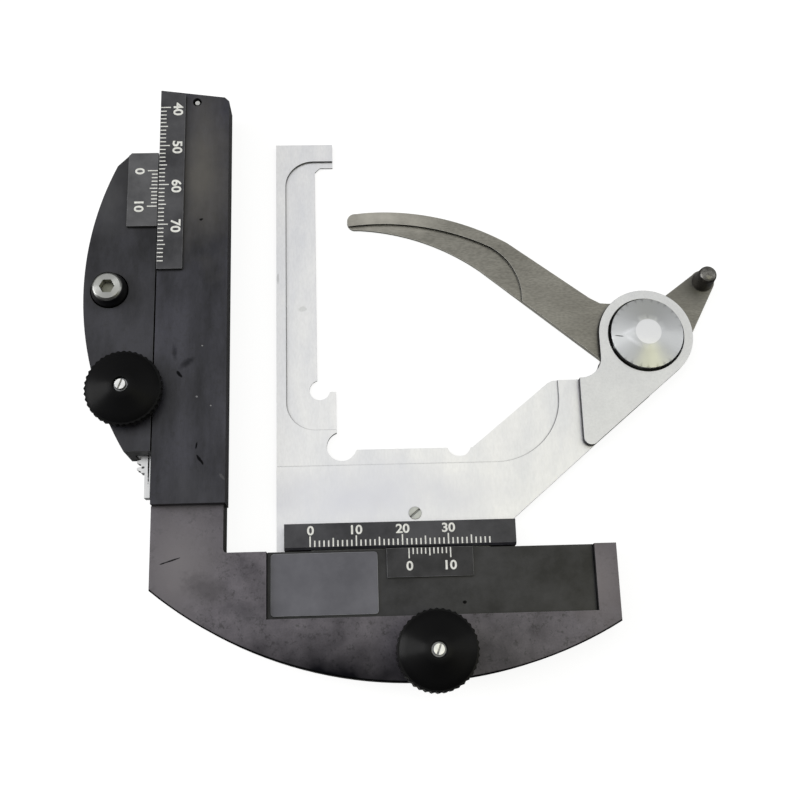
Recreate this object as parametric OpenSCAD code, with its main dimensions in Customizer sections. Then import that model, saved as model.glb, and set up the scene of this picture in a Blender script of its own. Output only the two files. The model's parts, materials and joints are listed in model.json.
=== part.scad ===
// Attachable mechanical stage for a microscope.
// A base clamps to the plain stage and carries a sliding arm with its cross frame.
// The frame carries a specimen holder that slides crosswise and has a sprung clip.
// X runs along the cross scale, Y along the arm and Z up from the face of the stage.
// Places are drawn from the zero mark of the cross scale, then moved to the part's centre.

/* [Fits] */
// How far a cut runs past the face that it opens
overrun = 1; // [0.6:0.2:2]
// Radial clearance of a fixed pin, screw or shaft in its hole
slip = 0.02; // [0.01:0.01:0.04]
// Radial clearance of a shaft that turns in its bush
running_gap = 0.05; // [0.03:0.01:0.08]
// Clearance between two faces that slide along each other
glide = 0.1; // [0.06:0.02:0.14]
// Gap around a fixed plate in its recess
recess_gap = 0.1; // [0.05:0.05:0.2]

/* [Travel] */
// Travel of the frame towards the near side
frame_travel_near = 16.5; // [10:0.5:18]
// Travel of the frame towards the far side
frame_travel_far = 13.5; // [8:0.5:15]
// Travel of the holder to the left
holder_travel_left = 8.6; // [4:0.2:9]
// Travel of the holder to the right
holder_travel_right = 21.4; // [12:0.2:21.6]
// Rack length left over past the pinion at each end of the travel
rack_spare = 3.9; // [3:0.1:4.2]

/* [Arm] */
// Left face of the arm bar
arm_left = -34.1; // [-34.6:0.1:-33.8]
// Width of the arm bar
arm_w = 16; // [15:0.5:17]
// Underside of the arm bar above the stage
arm_base = 3; // [2.8:0.1:3.2]
// Top of the arm bar above the stage
arm_top = 9.8; // [9.4:0.1:10.2]
// Near end of the arm bar
arm_near = 9.3; // [8:0.5:11]
// Length of the arm bar along its left face
arm_length = 99.8; // [95.8:0.5:102.8]
// How much nearer the far end is at the right face
arm_slope = 2; // [0.5:0.5:3]
// Corner cut at the far right end of the bar
arm_corner = 1; // [0.5:0.25:2]
// Distance of the stop pin from the left face of the bar
stop_pin_in = 8.45; // [7:0.25:11]
// Distance of the stop pin from the far end of the bar
stop_pin_back = 3.15; // [2.75:0.2:5]
// Radius of the sunk hole round the stop pin
stop_hole_r = 1.05; // [0.8:0.05:1.3]
// Depth of the sunk hole round the stop pin
stop_hole_depth = 2; // [1:0.25:3]
// Radius of the stop pin
stop_pin_r = 0.55; // [0.4:0.05:0.7]
// Length of the stop pin
stop_pin_h = 3.4; // [2.4:0.2:4]
// How far the stop pin stays below the face of the bar
stop_pin_sink = 0.5; // [0.2:0.1:0.8]

/* [Arm scale] */
// Width of the scale plate on the arm
arm_scale_w = 5.85; // [5:0.25:7]
// Near end of the scale plate
arm_scale_near = 63.2; // [60:0.5:68]
// Distance from the far end of the bar to the far end of the scale plate
arm_scale_back = 0.45; // [0.25:0.1:1]
// Thickness of the scale plates
scale_plate_t = 0.8; // [0.6:0.1:1]

/* [Guide rail and rack of the arm] */
// Near end of the guide rail
rail_near = 11.5; // [9.5:0.5:13]
// Far end of the guide rail
rail_far = 88; // [84:0.5:94]
// Underside of the guide rail and rack above the stage
rail_base = 3; // [3:0.05:3.15]
// Height of the guide rail and rack
rail_h = 2.6; // [2.4:0.1:2.7]
// Thickness of the rail's head
rail_head_t = 1.25; // [1.1:0.05:1.35]
// Thickness of the rail's web, from the head to the bar
rail_web_t = 0.9; // [0.8:0.05:0.95]
// How much lower and higher the head is than the web
rail_lip = 0.6; // [0.5:0.05:0.7]
// Thickness of a rack behind its teeth
rack_back = 0.8; // [0.7:0.05:0.9]
// Tooth size: pitch circle diameter over number of teeth
tooth_module = 0.5; // [0.45:0.05:0.55]
// Teeth on the arm's pinion
arm_pinion_teeth = 10; // [10:1:11]
// Teeth on the cross slide's pinion
cross_pinion_teeth = 16; // [15:1:17]
// Distance of the first rail screw beyond the rack, and between the last two
rail_screw_step = 14; // [12:0.5:15]

/* [Base housing] */
// Height of the housing
housing_h = 9.8; // [9.4:0.1:10.2]
// Left-most reach of the curved edge
housing_left = -50.41; // [-53:0.5:-49.5]
// Radius of the curved edge
housing_arc_r = 74.54; // [70:0.5:80]
// Height in Y of the middle of the curved edge
housing_arc_y = 58.75; // [56:0.25:61]
// Near end of the housing
housing_near = 21; // [20:0.5:22]
// Far end of the housing
housing_far = 92.5; // [91:0.5:95]
// Corner cut at the far left of the housing
housing_corner = 1.6; // [0.8:0.2:2.2]
// Gap between the housing and the arm bar
housing_gap = 0.3; // [0.2:0.1:0.4]
// Space past the tips of the rack teeth in the housing
rack_room = 0.4; // [0.3:0.05:0.6]
// Radius of the locating holes under the housing
locating_hole_r = 1.5; // [1:0.1:2]
// Depth of the locating holes
locating_hole_depth = 4; // [2:0.5:6]
// Distance of each locating hole from the clamp screw
locating_hole_step = 13; // [11:0.5:15]
// Chamfer at the mouth of the locating holes
locating_chamfer = 0.3; // [0.2:0.05:0.4]

/* [Arm vernier] */
// Width of the vernier plate
arm_vernier_w = 6.9; // [6:0.2:7.4]
// Near end of the vernier plate
arm_vernier_near = 73.8; // [73:0.2:76]
// Far end of the vernier plate
arm_vernier_far = 92.3; // [90:0.2:92.4]
// Corner cut of the vernier plate
arm_vernier_corner = 0.7; // [0.3:0.1:1]

/* [Clamp screw] */
// Place of the clamp screw along X
clamp_x = -44.6; // [-45:0.1:-44]
// Place of the clamp screw along Y
clamp_y = 58.5; // [56:0.5:61]
// Radius of the clamp collar at its foot
collar_r = 4.05; // [3.9:0.05:4.2]
// Radius of the clamp collar at its top
collar_top_r = 3.5; // [3.45:0.05:3.7]
// Height of the clamp collar
collar_h = 3.7; // [3.4:0.1:4]
// Height of the collar's straight foot
collar_foot_h = 1.6; // [1.2:0.1:2]
// Depth of the collar's foot below the housing's face
collar_sink = 1.2; // [1:0.1:1.5]
// Thickness of the collar's floor
collar_floor = 0.8; // [0.6:0.1:1]
// Radius of the screw head
clamp_head_r = 3.3; // [3.1:0.05:3.35]
// Height of the screw head
clamp_head_h = 3.2; // [3:0.1:3.6]
// Chamfer of the screw head
clamp_head_chamfer = 0.4; // [0.2:0.1:0.6]
// Width across the flats of the hexagon socket
socket_flats = 3; // [2.5:0.5:3.5]
// Depth of the hexagon socket
socket_depth = 2; // [1.5:0.25:2.5]
// Radius of the screw's thread
clamp_thread_r = 2; // [1.75:0.25:2]
// Radius of the counterbore round the collar
clamp_bore_r = 4.3; // [4.25:0.05:4.5]
// Drop of the screw and its collar when it is driven home
clamp_drop = 3.5; // [3:0.1:3.6]
// Room left under the collar when it is driven home
clamp_seat_gap = 0.1; // [0.05:0.05:0.2]
// Height of the screw's tip above the stage when it is drawn up
clamp_tip_gap = 0.4; // [0.2:0.1:0.6]
// Thickness of the web that the screw passes through
clamp_web_t = 0.6; // [0.5:0.1:0.8]
// Radius of the retaining ring on the screw
clamp_ring_r = 3; // [2.8:0.1:3.1]
// Thickness of the retaining ring
clamp_ring_t = 0.6; // [0.5:0.1:0.6]

/* [Knobs] */
// Radius of the knobs over their serrations
knob_r = 8.5; // [8:0.1:9]
// Depth of the serrations
serration_depth = 0.3; // [0.15:0.05:0.4]
// Number of serrations
serrations = 40; // [32:4:48]
// Chamfer at the edges of the knob's rim
knob_chamfer = 0.5; // [0.3:0.1:0.7]
// Height of the cone above the rim
knob_cone_h = 2.4; // [2:0.1:2.8]
// Radius of the flat at the top of the cone
knob_flat_r = 2.1; // [1.95:0.05:2.4]
// Height of the arm knob's rim
arm_knob_rim_h = 3; // [2.6:0.1:3.6]
// Height of the cross knob's rim
cross_knob_rim_h = 8.5; // [7:0.25:10]
// Gap between the arm knob and its bush
knob_gap = 0.2; // [0.15:0.05:0.3]
// Radius of the recess round the knob screw
knob_recess_r = 1.65; // [1.55:0.05:1.8]
// Depth of the recess round the knob screw
knob_recess_depth = 0.8; // [0.6:0.1:1]
// Radius of the knob screw's head
knob_screw_head_r = 1.15; // [1:0.05:1.3]
// Height of the knob screw's head
knob_screw_head_h = 0.9; // [0.8:0.05:1.1]
// Radius of the knob screw's thread
knob_screw_r = 0.6; // [0.5:0.05:0.7]
// Length of the knob screw's thread
knob_screw_length = 3; // [2.4:0.2:3.6]

/* [Shafts and bushes] */
// Radius of the pinion shafts
shaft_r = 1.5; // [1.3:0.05:1.6]
// Radius of the shaft's lower pivot
pivot_r = 1; // [0.8:0.05:1.1]
// Length of the lower pivot inside its plate
pivot_depth = 0.6; // [0.5:0.05:0.7]
// Radius of a bush where it sits in its hole
bush_r = 3; // [2.6:0.1:3.2]
// Radius of a bush's flange
bush_flange_r = 4.4; // [4:0.1:4.6]
// Thickness of the arm bush's flange
arm_bush_flange_t = 0.8; // [0.6:0.1:1]
// Thickness of the cross bush's flange
cross_bush_flange_t = 2.3; // [1.8:0.1:3]
// Clearance past the tips of a pinion
pinion_room = 0.3; // [0.25:0.05:0.4]
// Radius of the round plate under the arm's pinion
pinion_plate_r = 5.3; // [5.25:0.05:5.4]
// Thickness of the round plate
pinion_plate_t = 1.2; // [1:0.05:1.3]
// Distance of the round plate's screws from its centre
pinion_plate_screw_ring = 4.3; // [4.2:0.05:4.35]

/* [Cross frame] */
// Underside of the frame above the stage
frame_base = 0.5; // [0.4:0.05:0.6]
// Top of the frame above the stage
frame_top = 7.5; // [7.2:0.1:8]
// Left face of the frame below the arm
frame_left = -34.3; // [-34.35:0.05:-34]
// Right end of the frame
frame_right = 66.4; // [65.6:0.2:68]
// Straight far edge of the frame, beside the holder
frame_far = -1.2; // [-1.4:0.05:-1.1]
// Right edge of the frame's arm foot
foot_right = -18.65; // [-19.5:0.1:-18.3]
// Radius of the curved near edge
frame_arc_r = 89.36; // [88.9:0.1:92]
// Middle of the curved near edge along X
frame_arc_x = 22.64; // [21.5:0.1:23]
// Near-most reach of the curved edge
frame_near = -29.4; // [-31:0.1:-29.3]
// Radius of the inner corner
frame_corner_r = 0.8; // [0.4:0.2:1.6]
// Far end of the tongue under the arm bar
tongue_far = 28; // [25:0.5:30]

/* [Cross guide] */
// Near edge of the pocket in the frame's top
pocket_near = -15.6; // [-15.8:0.05:-15.55]
// Depth of the pocket's ends past the slider's room
pocket_end = 0.6; // [0.4:0.1:0.8]
// Room left at each end of the slider's travel
travel_room = 0.4; // [0.2:0.1:0.6]
// Thickness of the bottom plate
bottom_plate_t = 1.1; // [1:0.05:1.15]
// Left end of the bottom plate
bottom_plate_left = -14.5; // [-15:0.25:-13.5]
// Right end of the bottom plate
bottom_plate_right = 65; // [64.6:0.1:65.4]
// Far edge of the bottom plate
bottom_plate_far = -3.2; // [-3.4:0.1:-2.8]
// Rim of the frame left round the bottom plate
bottom_plate_rim = 0.65; // [0.5:0.05:0.7]
// Distance of the pinion along X from the scale's zero mark
cross_pinion_x = 26.1; // [25:0.1:27]
// Near face of the slider's body
slider_near = -13.4; // [-13.5:0.05:-13.3]
// Far face of the slider's body, inside the guide lip
slider_far = -4.7; // [-4.9:0.1:-4.5]
// Top of the slider above the stage
slider_top = 5.2; // [5.1:0.05:5.3]
// Height of the guide lip over the bottom plate
guide_lip_h = 1.2; // [1:0.1:1.4]
// How far the slider reaches past the ends of its rack
slider_spare = 2; // [1.5:0.25:2.5]
// Height of the cross rack
cross_rack_h = 2.2; // [2:0.05:2.3]
// Reach of the cross rack from the slider to the roots of its teeth
cross_rack_reach = 5.575; // [5.4:0.05:5.6]
// Lap of the cross rack under the slider
cross_rack_lap = 4; // [3.5:0.25:4.5]
// Spare length of the cross rack past the pinion
cross_rack_spare = 2.5; // [2:0.1:2.6]
// Thickness of the guide cover
cover_t = 0.7; // [0.6:0.05:0.8]
// Thickness of the blank plate
blank_plate_t = 0.5; // [0.4:0.1:0.6]
// Left end of the blank plate
blank_plate_left = -8.56; // [-9:0.1:-8]
// Width of the blank plate
blank_plate_w = 23.06; // [21:0.5:24]
// Near edge of the blank plate
blank_plate_near = -15; // [-15.2:0.1:-14.6]
// Far edge of the blank plate
blank_plate_far = -1.65; // [-2:0.05:-1.4]
// Corner radius of the blank plate
blank_plate_corner = 0.8; // [0.4:0.1:1.2]
// Left end of the cross vernier plate
cross_vernier_left = 16.45; // [15.5:0.1:17]
// Width of the cross vernier plate
cross_vernier_w = 18.75; // [17:0.25:20]
// Depth of the cross vernier plate
cross_vernier_d = 6.35; // [5.5:0.25:7]

/* [Cross scale block] */
// Left end of the scale block
block_left = -5.63; // [-6.5:0.1:-5]
// Right end of the scale block
block_right = 44.8; // [44:0.1:44.8]
// Gap between the block and the frame's far edge
block_gap = 0.3; // [0.25:0.05:0.4]
// Depth of the block
block_d = 5.62; // [5.2:0.1:6]
// Height of the block over the holder plate
block_h = 5; // [4.6:0.1:5.4]
// Chamfer along the near top edge of the block
block_chamfer = 0.5; // [0.3:0.1:0.8]

/* [Holder] */
// Underside of the holder above the stage
holder_base = 0.3; // [0.2:0.05:0.4]
// Thickness of the holder's raised part
holder_t = 1.5; // [1.4:0.1:1.6]
// Thickness of the holder's specimen part
holder_mid_t = 1; // [0.9:0.05:1.1]
// Thickness of the ledge beside the specimen
holder_ledge_t = 0.4; // [0.3:0.05:0.5]
// Left edge of the holder
holder_left = -7.6; // [-7.9:0.1:-7]
// Far end of the holder
holder_far = 98.8; // [97:0.2:100]
// Edge of the long ledge
ledge_x = 1.7; // [1.2:0.1:2.4]
// Edge that the specimen's long side rests on
stop_x = 6; // [5.6:0.1:6.4]
// Near side of the hook at the far end
hook_near = 92.8; // [91.5:0.1:94]
// Fillet in the hook's inner corner
hook_fillet = 1.2; // [0.8:0.1:1.6]
// Far side of the stop tab
tab_far = 36.2; // [35.5:0.1:37]
// Seat of the specimen's short side
seat_y = 22.25; // [21.5:0.25:23]
// Right end of the seat
seat_right = 36.8; // [36.2:0.2:37.6]
// Radius of the relief beside the stop tab
tab_relief_r = 2.33; // [2:0.1:2.5]
// Radius of the relief at the left end of the seat
seat_relief_r = 3.38; // [3:0.1:3.5]
// Radius of the relief at the right end of the seat
end_relief_r = 2.71; // [2.4:0.1:2.9]
// Far edge of the holder beside the clip lug
shoulder_far = 37.6; // [36.5:0.1:38.5]
// Right end of the slanted inner edge
shoulder_left = 54.9; // [53.5:0.1:56]
// Far edge of the holder's raised part
raised_far = 18.54; // [17.5:0.1:19]
// Place of the raised part's curved edge along X
raised_arc_x = 42.1; // [41:0.1:43]
// Radius of the raised part's curved edge
raised_arc_r = 15.17; // [14.5:0.1:15.5]
// Width of the rim left of the ledge
ledge_rim = 2.2; // [1.8:0.1:2.6]
// Near edge of the ledge
ledge_near = 27; // [26.8:0.1:28]
// Far edge of the ledge
ledge_far = 94.4; // [93.6:0.1:95.4]
// Corner radius of the ledge
ledge_corner_r = 6.6; // [5.5:0.1:6.8]
// Place of the holder's slotted screw along X
level_screw_x = 23.16; // [22:0.2:24]
// Place of the holder's slotted screw along Y
level_screw_y = 7.35; // [7:0.1:9]
// Radius of the holder's slotted screw
level_screw_r = 1.4; // [1.2:0.1:1.6]
// How far the slotted screw stands above the holder
level_screw_proud = 0.15; // [0.05:0.05:0.3]

/* [Clip lug] */
// Thickness of the lug
lug_t = 1.6; // [1.5:0.1:1.8]
// Left edge of the lug
lug_left = 62.1; // [61.5:0.1:62.6]
// Radius of the lug's near tip
lug_tip_r = 1.65; // [1.3:0.05:1.9]
// Slant of the lug's outer edge
lug_slant = 39.6; // [38.5:0.1:40.2]
// Pivot of the clip along X
clip_pivot_x = 78.4; // [78:0.1:79]
// Pivot of the clip along Y
clip_pivot_y = 47.65; // [47:0.1:48.2]
// Outer radius of the lug's ring
lug_ring_r = 11; // [10.8:0.1:11.3]
// Radius of the bore in the ring
lug_bore_r = 8.94; // [8.8:0.02:9.1]
// Thickness of the floor inside the ring
lug_floor_t = 0.6; // [0.5:0.05:0.7]
// Fillet between the lug and the holder's shoulder
lug_fillet = 4.9; // [4:0.1:5.4]
// Free space round the pivot for the clip to swing in
clip_swing_r = 12.8; // [12.6:0.1:13.2]

/* [Clip] */
// Gap between the clip and the ring above it
clip_gap = 0.1; // [0.06:0.02:0.14]
// Thickness of the clip's jaw
clip_jaw_t = 0.7; // [0.6:0.05:0.8]
// Radius of the clip's hub
clip_hub_r = 9.8; // [9.4:0.1:10.2]
// Reach of the clip's tip to the left of its pivot
clip_reach = 67.15; // [66:0.1:68]
// Height of the clip's tip over its pivot along Y
clip_rise = 30.5; // [30:0.1:31]
// Radius of the clip's rounded tip
clip_tip_r = 1.95; // [1.8:0.05:2.1]
// Radius of the clip's outer edge
clip_outer_r = 57.56; // [56.8:0.1:58]
// Radius of the clip's inner edge
clip_inner_r = 52.25; // [51.8:0.1:52.6]
// Radius of the shallow step along the clip
clip_step_r = 57.31; // [56.9:0.1:57.6]
// Radius where the step turns to the inner edge
clip_turn_r = 14.86; // [14.4:0.1:15.2]
// Reach of the thumb pin to the right of the pivot
thumb_reach = 15.1; // [14.5:0.1:16]
// Height of the thumb pin over the pivot along Y
thumb_rise = 13.55; // [13:0.1:14]
// Radius of the clip's tail round the thumb pin
tail_end_r = 2.85; // [2.7:0.05:3.1]
// Radius of the thumb pin at its foot
thumb_foot_r = 2.45; // [2.2:0.05:2.6]
// Radius of the thumb pin's head
thumb_head_r = 2.1; // [1.8:0.05:2.2]
// Height of the thumb pin over the clip
thumb_h = 5.4; // [4.5:0.1:6]
// Radius of the thumb pin's rivet
thumb_rivet_r = 1.2; // [1:0.1:1.4]

/* [Clip pivot] */
// Radius of the turned cap
cap_r = 8.42; // [8.2:0.02:8.5]
// Height of the cap's rim over the floor of the ring
cap_rim_h = 2.1; // [1.9:0.05:2.4]
// Height of the cap's cone
cap_cone_h = 1.2; // [1:0.1:1.4]
// Radius of the flat on the cap
cap_flat_r = 3.24; // [3:0.1:3.5]
// Radius of the spring room inside the cap
cap_room_r = 7.6; // [7.4:0.05:7.7]
// Height of the spring room inside the cap
cap_room_h = 1.5; // [1.3:0.05:1.6]
// Radius of the pivot's journal
journal_r = 2.4; // [2.2:0.05:2.5]
// Radius of the pivot's riveted ends
journal_end_r = 1.6; // [1.4:0.05:1.8]
// Depth of the pivot's upper end in the cap
journal_end_h = 1; // [0.8:0.05:1.1]
// Inner radius of the spiral spring
spring_inner_r = 2.9; // [2.8:0.05:3.1]
// Outer radius of the spiral spring
spring_outer_r = 6.5; // [6.2:0.05:6.6]
// Turns of the spiral spring
spring_turns = 3; // [2:1:4]
// Thickness of the spring's strip
spring_t = 0.3; // [0.2:0.05:0.4]
// Height of the spring's strip
spring_h = 0.9; // [0.7:0.05:1]
// Radius of the pin that holds the spring's outer end
spring_pin_r = 0.4; // [0.3:0.05:0.45]

/* [Screws] */
// Radius of the fine screws' heads
fine_head_r = 0.9; // [0.8:0.05:0.95]
// Height of the fine screws' heads
fine_head_h = 0.5; // [0.4:0.05:0.55]
// Radius of the fine screws' threads
fine_shank_r = 0.5; // [0.4:0.05:0.55]
// Radius of the small screws' heads
small_head_r = 1.5; // [1.3:0.05:1.55]
// Height of the small screws' heads
small_head_h = 0.8; // [0.7:0.05:0.85]
// Radius of the small screws' threads
small_shank_r = 0.8; // [0.6:0.05:0.85]
// Radius of the arm screws' heads
arm_head_r = 2.8; // [2.5:0.1:3]
// Height of the arm screws' heads
arm_head_h = 1.6; // [1.4:0.1:1.8]
// Radius of the arm screws' threads
arm_shank_r = 1.5; // [1.25:0.05:1.6]
// Width of a screw slot as a share of its head's radius
slot_w_share = 0.32; // [0.25:0.01:0.4]
// Depth of a screw slot as a share of its head's height
slot_depth_share = 0.45; // [0.3:0.05:0.6]

/* [Hidden] */
$fn = 96;
full_turn = 360;

// Tooth proportions, in tooth modules
rack_tip_share = 0.8;
rack_root_share = 1.05;
rack_half_share = 0.7;
pinion_tip_share = 0.8;
pinion_root_share = 1;
pinion_half_share = 0.76;
pinion_tip_half_share = 0.38;
tooth_angle = 20;
tooth_pitch = PI * tooth_module;

// Arm bar, its rail and its rack
arm_far = arm_near + arm_length;
rail_face = arm_left - rail_web_t - rail_head_t;
arm_rack_root = rail_face - rack_back;
arm_rack_line = arm_rack_root - rack_root_share * tooth_module;
arm_pinion_r = arm_pinion_teeth * tooth_module / 2;
arm_pinion_x = arm_rack_line - arm_pinion_r;
arm_pinion_y = 34.5;
arm_rack_near = arm_pinion_y - frame_travel_far - rack_spare;
arm_rack_far = arm_pinion_y + frame_travel_near + rack_spare;
rail_top = rail_base + rail_h;
rail_mid = rail_base + rail_h / 2;

// Base housing
housing_right = arm_left - housing_gap;
rail_room_left = arm_rack_line - rack_tip_share * tooth_module - rack_room;
arm_well_r = arm_pinion_r + pinion_tip_share * tooth_module + pinion_room;
arm_well_top = rail_top + 2 * glide;

// Clamp screw
collar_base = housing_h - collar_sink;
clamp_web_top = collar_base - clamp_drop - clamp_seat_gap;
clamp_head_base = collar_base + collar_floor;
clamp_ring_top = clamp_web_top - clamp_web_t - clamp_seat_gap;

// Cross guide
guide_floor = frame_base + bottom_plate_t;
slider_base = guide_floor + glide;
cover_base = slider_top + glide;
cover_top = cover_base + cover_t;
cross_rack_root = slider_near - cross_rack_reach;
cross_rack_line = cross_rack_root - rack_root_share * tooth_module;
cross_pinion_r = cross_pinion_teeth * tooth_module / 2;
cross_pinion_y = cross_rack_line - cross_pinion_r;
cross_rack_left = cross_pinion_x - holder_travel_right - cross_rack_spare;
cross_rack_right = cross_pinion_x + holder_travel_left + cross_rack_spare;
slider_left = cross_rack_left - slider_spare;
slider_right = cross_rack_right + slider_spare;
slider_room_left = slider_left - holder_travel_left - travel_room;
slider_room_right = slider_right + holder_travel_right + travel_room;
rack_room_left = cross_rack_left - holder_travel_left - travel_room;
rack_room_right = cross_rack_right + holder_travel_right + travel_room;
rack_room_near = cross_rack_line - (rack_tip_share * tooth_module) - pinion_room;
cross_well_r = cross_pinion_r + pinion_tip_share * tooth_module + pinion_room;
cross_rack_top = slider_base + cross_rack_h;
rack_room_top = cross_rack_top + glide;
cross_well_top = rack_room_top + glide;
frame_arc_y = frame_near + frame_arc_r;

// Holder, clip and their heights
holder_top = holder_base + holder_t;
holder_mid = holder_base + holder_mid_t;
holder_ledge = holder_base + holder_ledge_t;
block_near = frame_far + block_gap;
block_top = holder_top + block_h;
clip_top = holder_top;
lug_top = holder_top + lug_t;
lug_floor_base = clip_top + clip_gap;
lug_floor_top = lug_floor_base + lug_floor_t;
cap_base = lug_floor_top + clip_gap;
cap_rim_top = lug_floor_top + cap_rim_h;
cap_room_top = cap_base + cap_room_h;
clip_pivot = [clip_pivot_x, clip_pivot_y];
thumb_at = clip_pivot + [thumb_reach, thumb_rise];

// The part's origin lies under the middle of its box
origin_x = (housing_left + thumb_at.x + tail_end_r) / 2;
origin_y = (cross_pinion_y - knob_r + arm_far) / 2;

function turned(r, a) = r * [cos(a), sin(a)];
function arc(centre, r, from, to, steps) =
    [for (i = [0 : steps]) centre + turned(r, from + (to - from) * i / steps)];

module placed() { translate([-origin_x, -origin_y, 0]) children(); }

module slab(base, top) { translate([0, 0, base]) linear_extrude(top - base) children(); }

module round_bar(at, r, base, top) { translate([at.x, at.y, base]) cylinder(r = r, h = top - base); }

module block(low, high) { translate(low) cube(high - low); }

// A countersunk screw whose flat head faces down, with its thread going up
module screw_up(head_r, head_h, shank_r, length) {
    slot_w = slot_w_share * head_r;
    slot_depth = slot_depth_share * head_h;
    difference() {
        rotate_extrude() polygon([[0, 0], [head_r, 0], [shank_r, head_h], [shank_r, length], [0, length]]);
        translate([-head_r - overrun, -slot_w / 2, -overrun])
            cube([2 * (head_r + overrun), slot_w, slot_depth + overrun]);
    }
}

module screw_up_hole(head_r, head_h, shank_r, length) {
    rotate_extrude() polygon([[0, -overrun], [head_r + slip, -overrun], [head_r + slip, 0],
        [shank_r + slip, head_h], [shank_r + slip, length + slip], [0, length + slip]]);
}

module fine_screw(length) { screw_up(fine_head_r, fine_head_h, fine_shank_r, length); }
module fine_hole(length) { screw_up_hole(fine_head_r, fine_head_h, fine_shank_r, length); }
module small_screw(length) { screw_up(small_head_r, small_head_h, small_shank_r, length); }
module small_hole(length) { screw_up_hole(small_head_r, small_head_h, small_shank_r, length); }

// Teeth of a rack along Y, which point to the left from the line x = 0 at their pitch line
module rack_outline(near, far, in_mesh_at, back) {
    tip = rack_tip_share * tooth_module;
    root = rack_root_share * tooth_module;
    tip_half = rack_half_share * tooth_module - tip * tan(tooth_angle);
    root_half = rack_half_share * tooth_module + root * tan(tooth_angle);
    first = ceil((near + root_half - in_mesh_at) / tooth_pitch - 1 / 2);
    last = floor((far - root_half - in_mesh_at) / tooth_pitch - 1 / 2);
    polygon(concat(
        [[back, near], [root, near]],
        [for (k = [first : last], side = [-1, 1], level = side < 0 ? [root_half, tip_half]
            : [tip_half, root_half])
            [level == tip_half ? -tip : root, in_mesh_at + (k + 1 / 2) * tooth_pitch + side * level]],
        [[root, far], [back, far]]));
}

// Toothed outline of a pinion with one tooth on the +X axis
module pinion_outline(teeth) {
    pitch_r = teeth * tooth_module / 2;
    root_r = pitch_r - pinion_root_share * tooth_module;
    tip_r = pitch_r + pinion_tip_share * tooth_module;
    half = pinion_half_share * tooth_module / pitch_r * 180 / PI;
    tip_half = pinion_tip_half_share * tooth_module / pitch_r * 180 / PI;
    polygon([for (k = [0 : teeth - 1], p = [[root_r, -half], [pitch_r, -half], [tip_r, -tip_half],
        [tip_r, tip_half], [pitch_r, half], [root_r, half]]) turned(p[0], full_turn * k / teeth + p[1])]);
}

// Base housing

module housing_outline() {
    centre = [housing_left + housing_arc_r, housing_arc_y];
    corner_x = centre.x - sqrt(pow(housing_arc_r, 2) - pow(housing_far - centre.y, 2));
    intersection() {
        translate(centre) circle(r = housing_arc_r, $fn = 360);
        polygon([[housing_left - overrun, housing_near], [housing_right, housing_near],
            [housing_right, housing_far], [corner_x + housing_corner, housing_far],
            [corner_x - housing_corner, housing_far - 2 * housing_corner],
            [housing_left - overrun, housing_far - 2 * housing_corner]]);
    }
}

module base_housing() {
    clamp = [clamp_x, clamp_y];
    pinion = [arm_pinion_x, arm_pinion_y];
    color("#38393c") difference() {
        slab(0, housing_h) housing_outline();
        block([rail_room_left, housing_near - overrun, rail_base - glide],
            [arm_left - rail_web_t + glide, housing_far + overrun, rail_top + glide]);
        block([arm_left - rail_web_t, housing_near - overrun, rail_base + rail_lip - glide],
            [arm_left, housing_far + overrun, rail_top - rail_lip + glide]);
        round_bar(pinion, arm_well_r, 0, arm_well_top);
        round_bar(pinion, pinion_plate_r + slip, -overrun, pinion_plate_t);
        round_bar(pinion, bush_r + slip, 0, housing_h + overrun);
        round_bar(clamp, clamp_bore_r, clamp_web_top, housing_h + overrun);
        round_bar(clamp, clamp_thread_r + 2 * running_gap, 0, housing_h);
        round_bar(clamp, clamp_ring_r + 2 * glide, -overrun, clamp_web_top - clamp_web_t);
        pinion_plate_screw_places() fine_hole(fine_screw_length);
        for (side = [-1, 1]) translate([clamp_x, clamp_y + side * locating_hole_step, 0]) {
            cylinder(r = locating_hole_r, h = locating_hole_depth);
            rotate_extrude() polygon([[0, -overrun], [locating_hole_r + locating_chamfer, -overrun],
                [locating_hole_r + locating_chamfer, 0], [locating_hole_r, locating_chamfer],
                [0, locating_chamfer]]);
        }
    }
}

module arm_vernier_plate() {
    right = arm_left - housing_gap / 2;
    left = right - arm_vernier_w;
    color("#3c3d3f") slab(housing_h, housing_h + scale_plate_t)
        polygon([[left, arm_vernier_near], [right, arm_vernier_near], [right, arm_vernier_far],
            [left + arm_vernier_corner, arm_vernier_far], [left, arm_vernier_far - arm_vernier_corner]]);
}

module bush(at, hole_base, seat, flange_t) {
    difference() {
        union() {
            round_bar(at, bush_r, hole_base, seat);
            round_bar(at, bush_flange_r, seat, seat + flange_t);
        }
        round_bar(at, shaft_r + running_gap, hole_base - overrun, seat + flange_t + overrun);
    }
}

module arm_knob_bush() {
    color("#3a3a3c") bush([arm_pinion_x, arm_pinion_y], arm_well_top, housing_h, arm_bush_flange_t);
}

module pinion_plate_screw_places() {
    for (turn = [90, 210, 330]) translate([arm_pinion_x, arm_pinion_y, 0])
        rotate(turn) translate([pinion_plate_screw_ring, 0, 0]) children();
}

module pinion_plate() {
    pinion = [arm_pinion_x, arm_pinion_y];
    color("#6f7174") difference() {
        round_bar(pinion, pinion_plate_r, 0, pinion_plate_t);
        round_bar(pinion, pivot_r + running_gap, pinion_plate_t - pivot_depth, pinion_plate_t + overrun);
        pinion_plate_screw_places() fine_hole(fine_screw_length);
    }
}

fine_screw_length = 2 * pinion_plate_t;

module pinion_plate_screws() {
    color("#b9bbbd") pinion_plate_screw_places() fine_screw(fine_screw_length);
}

// Clamp screw, its collar and the ring that keeps it in the housing

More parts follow.
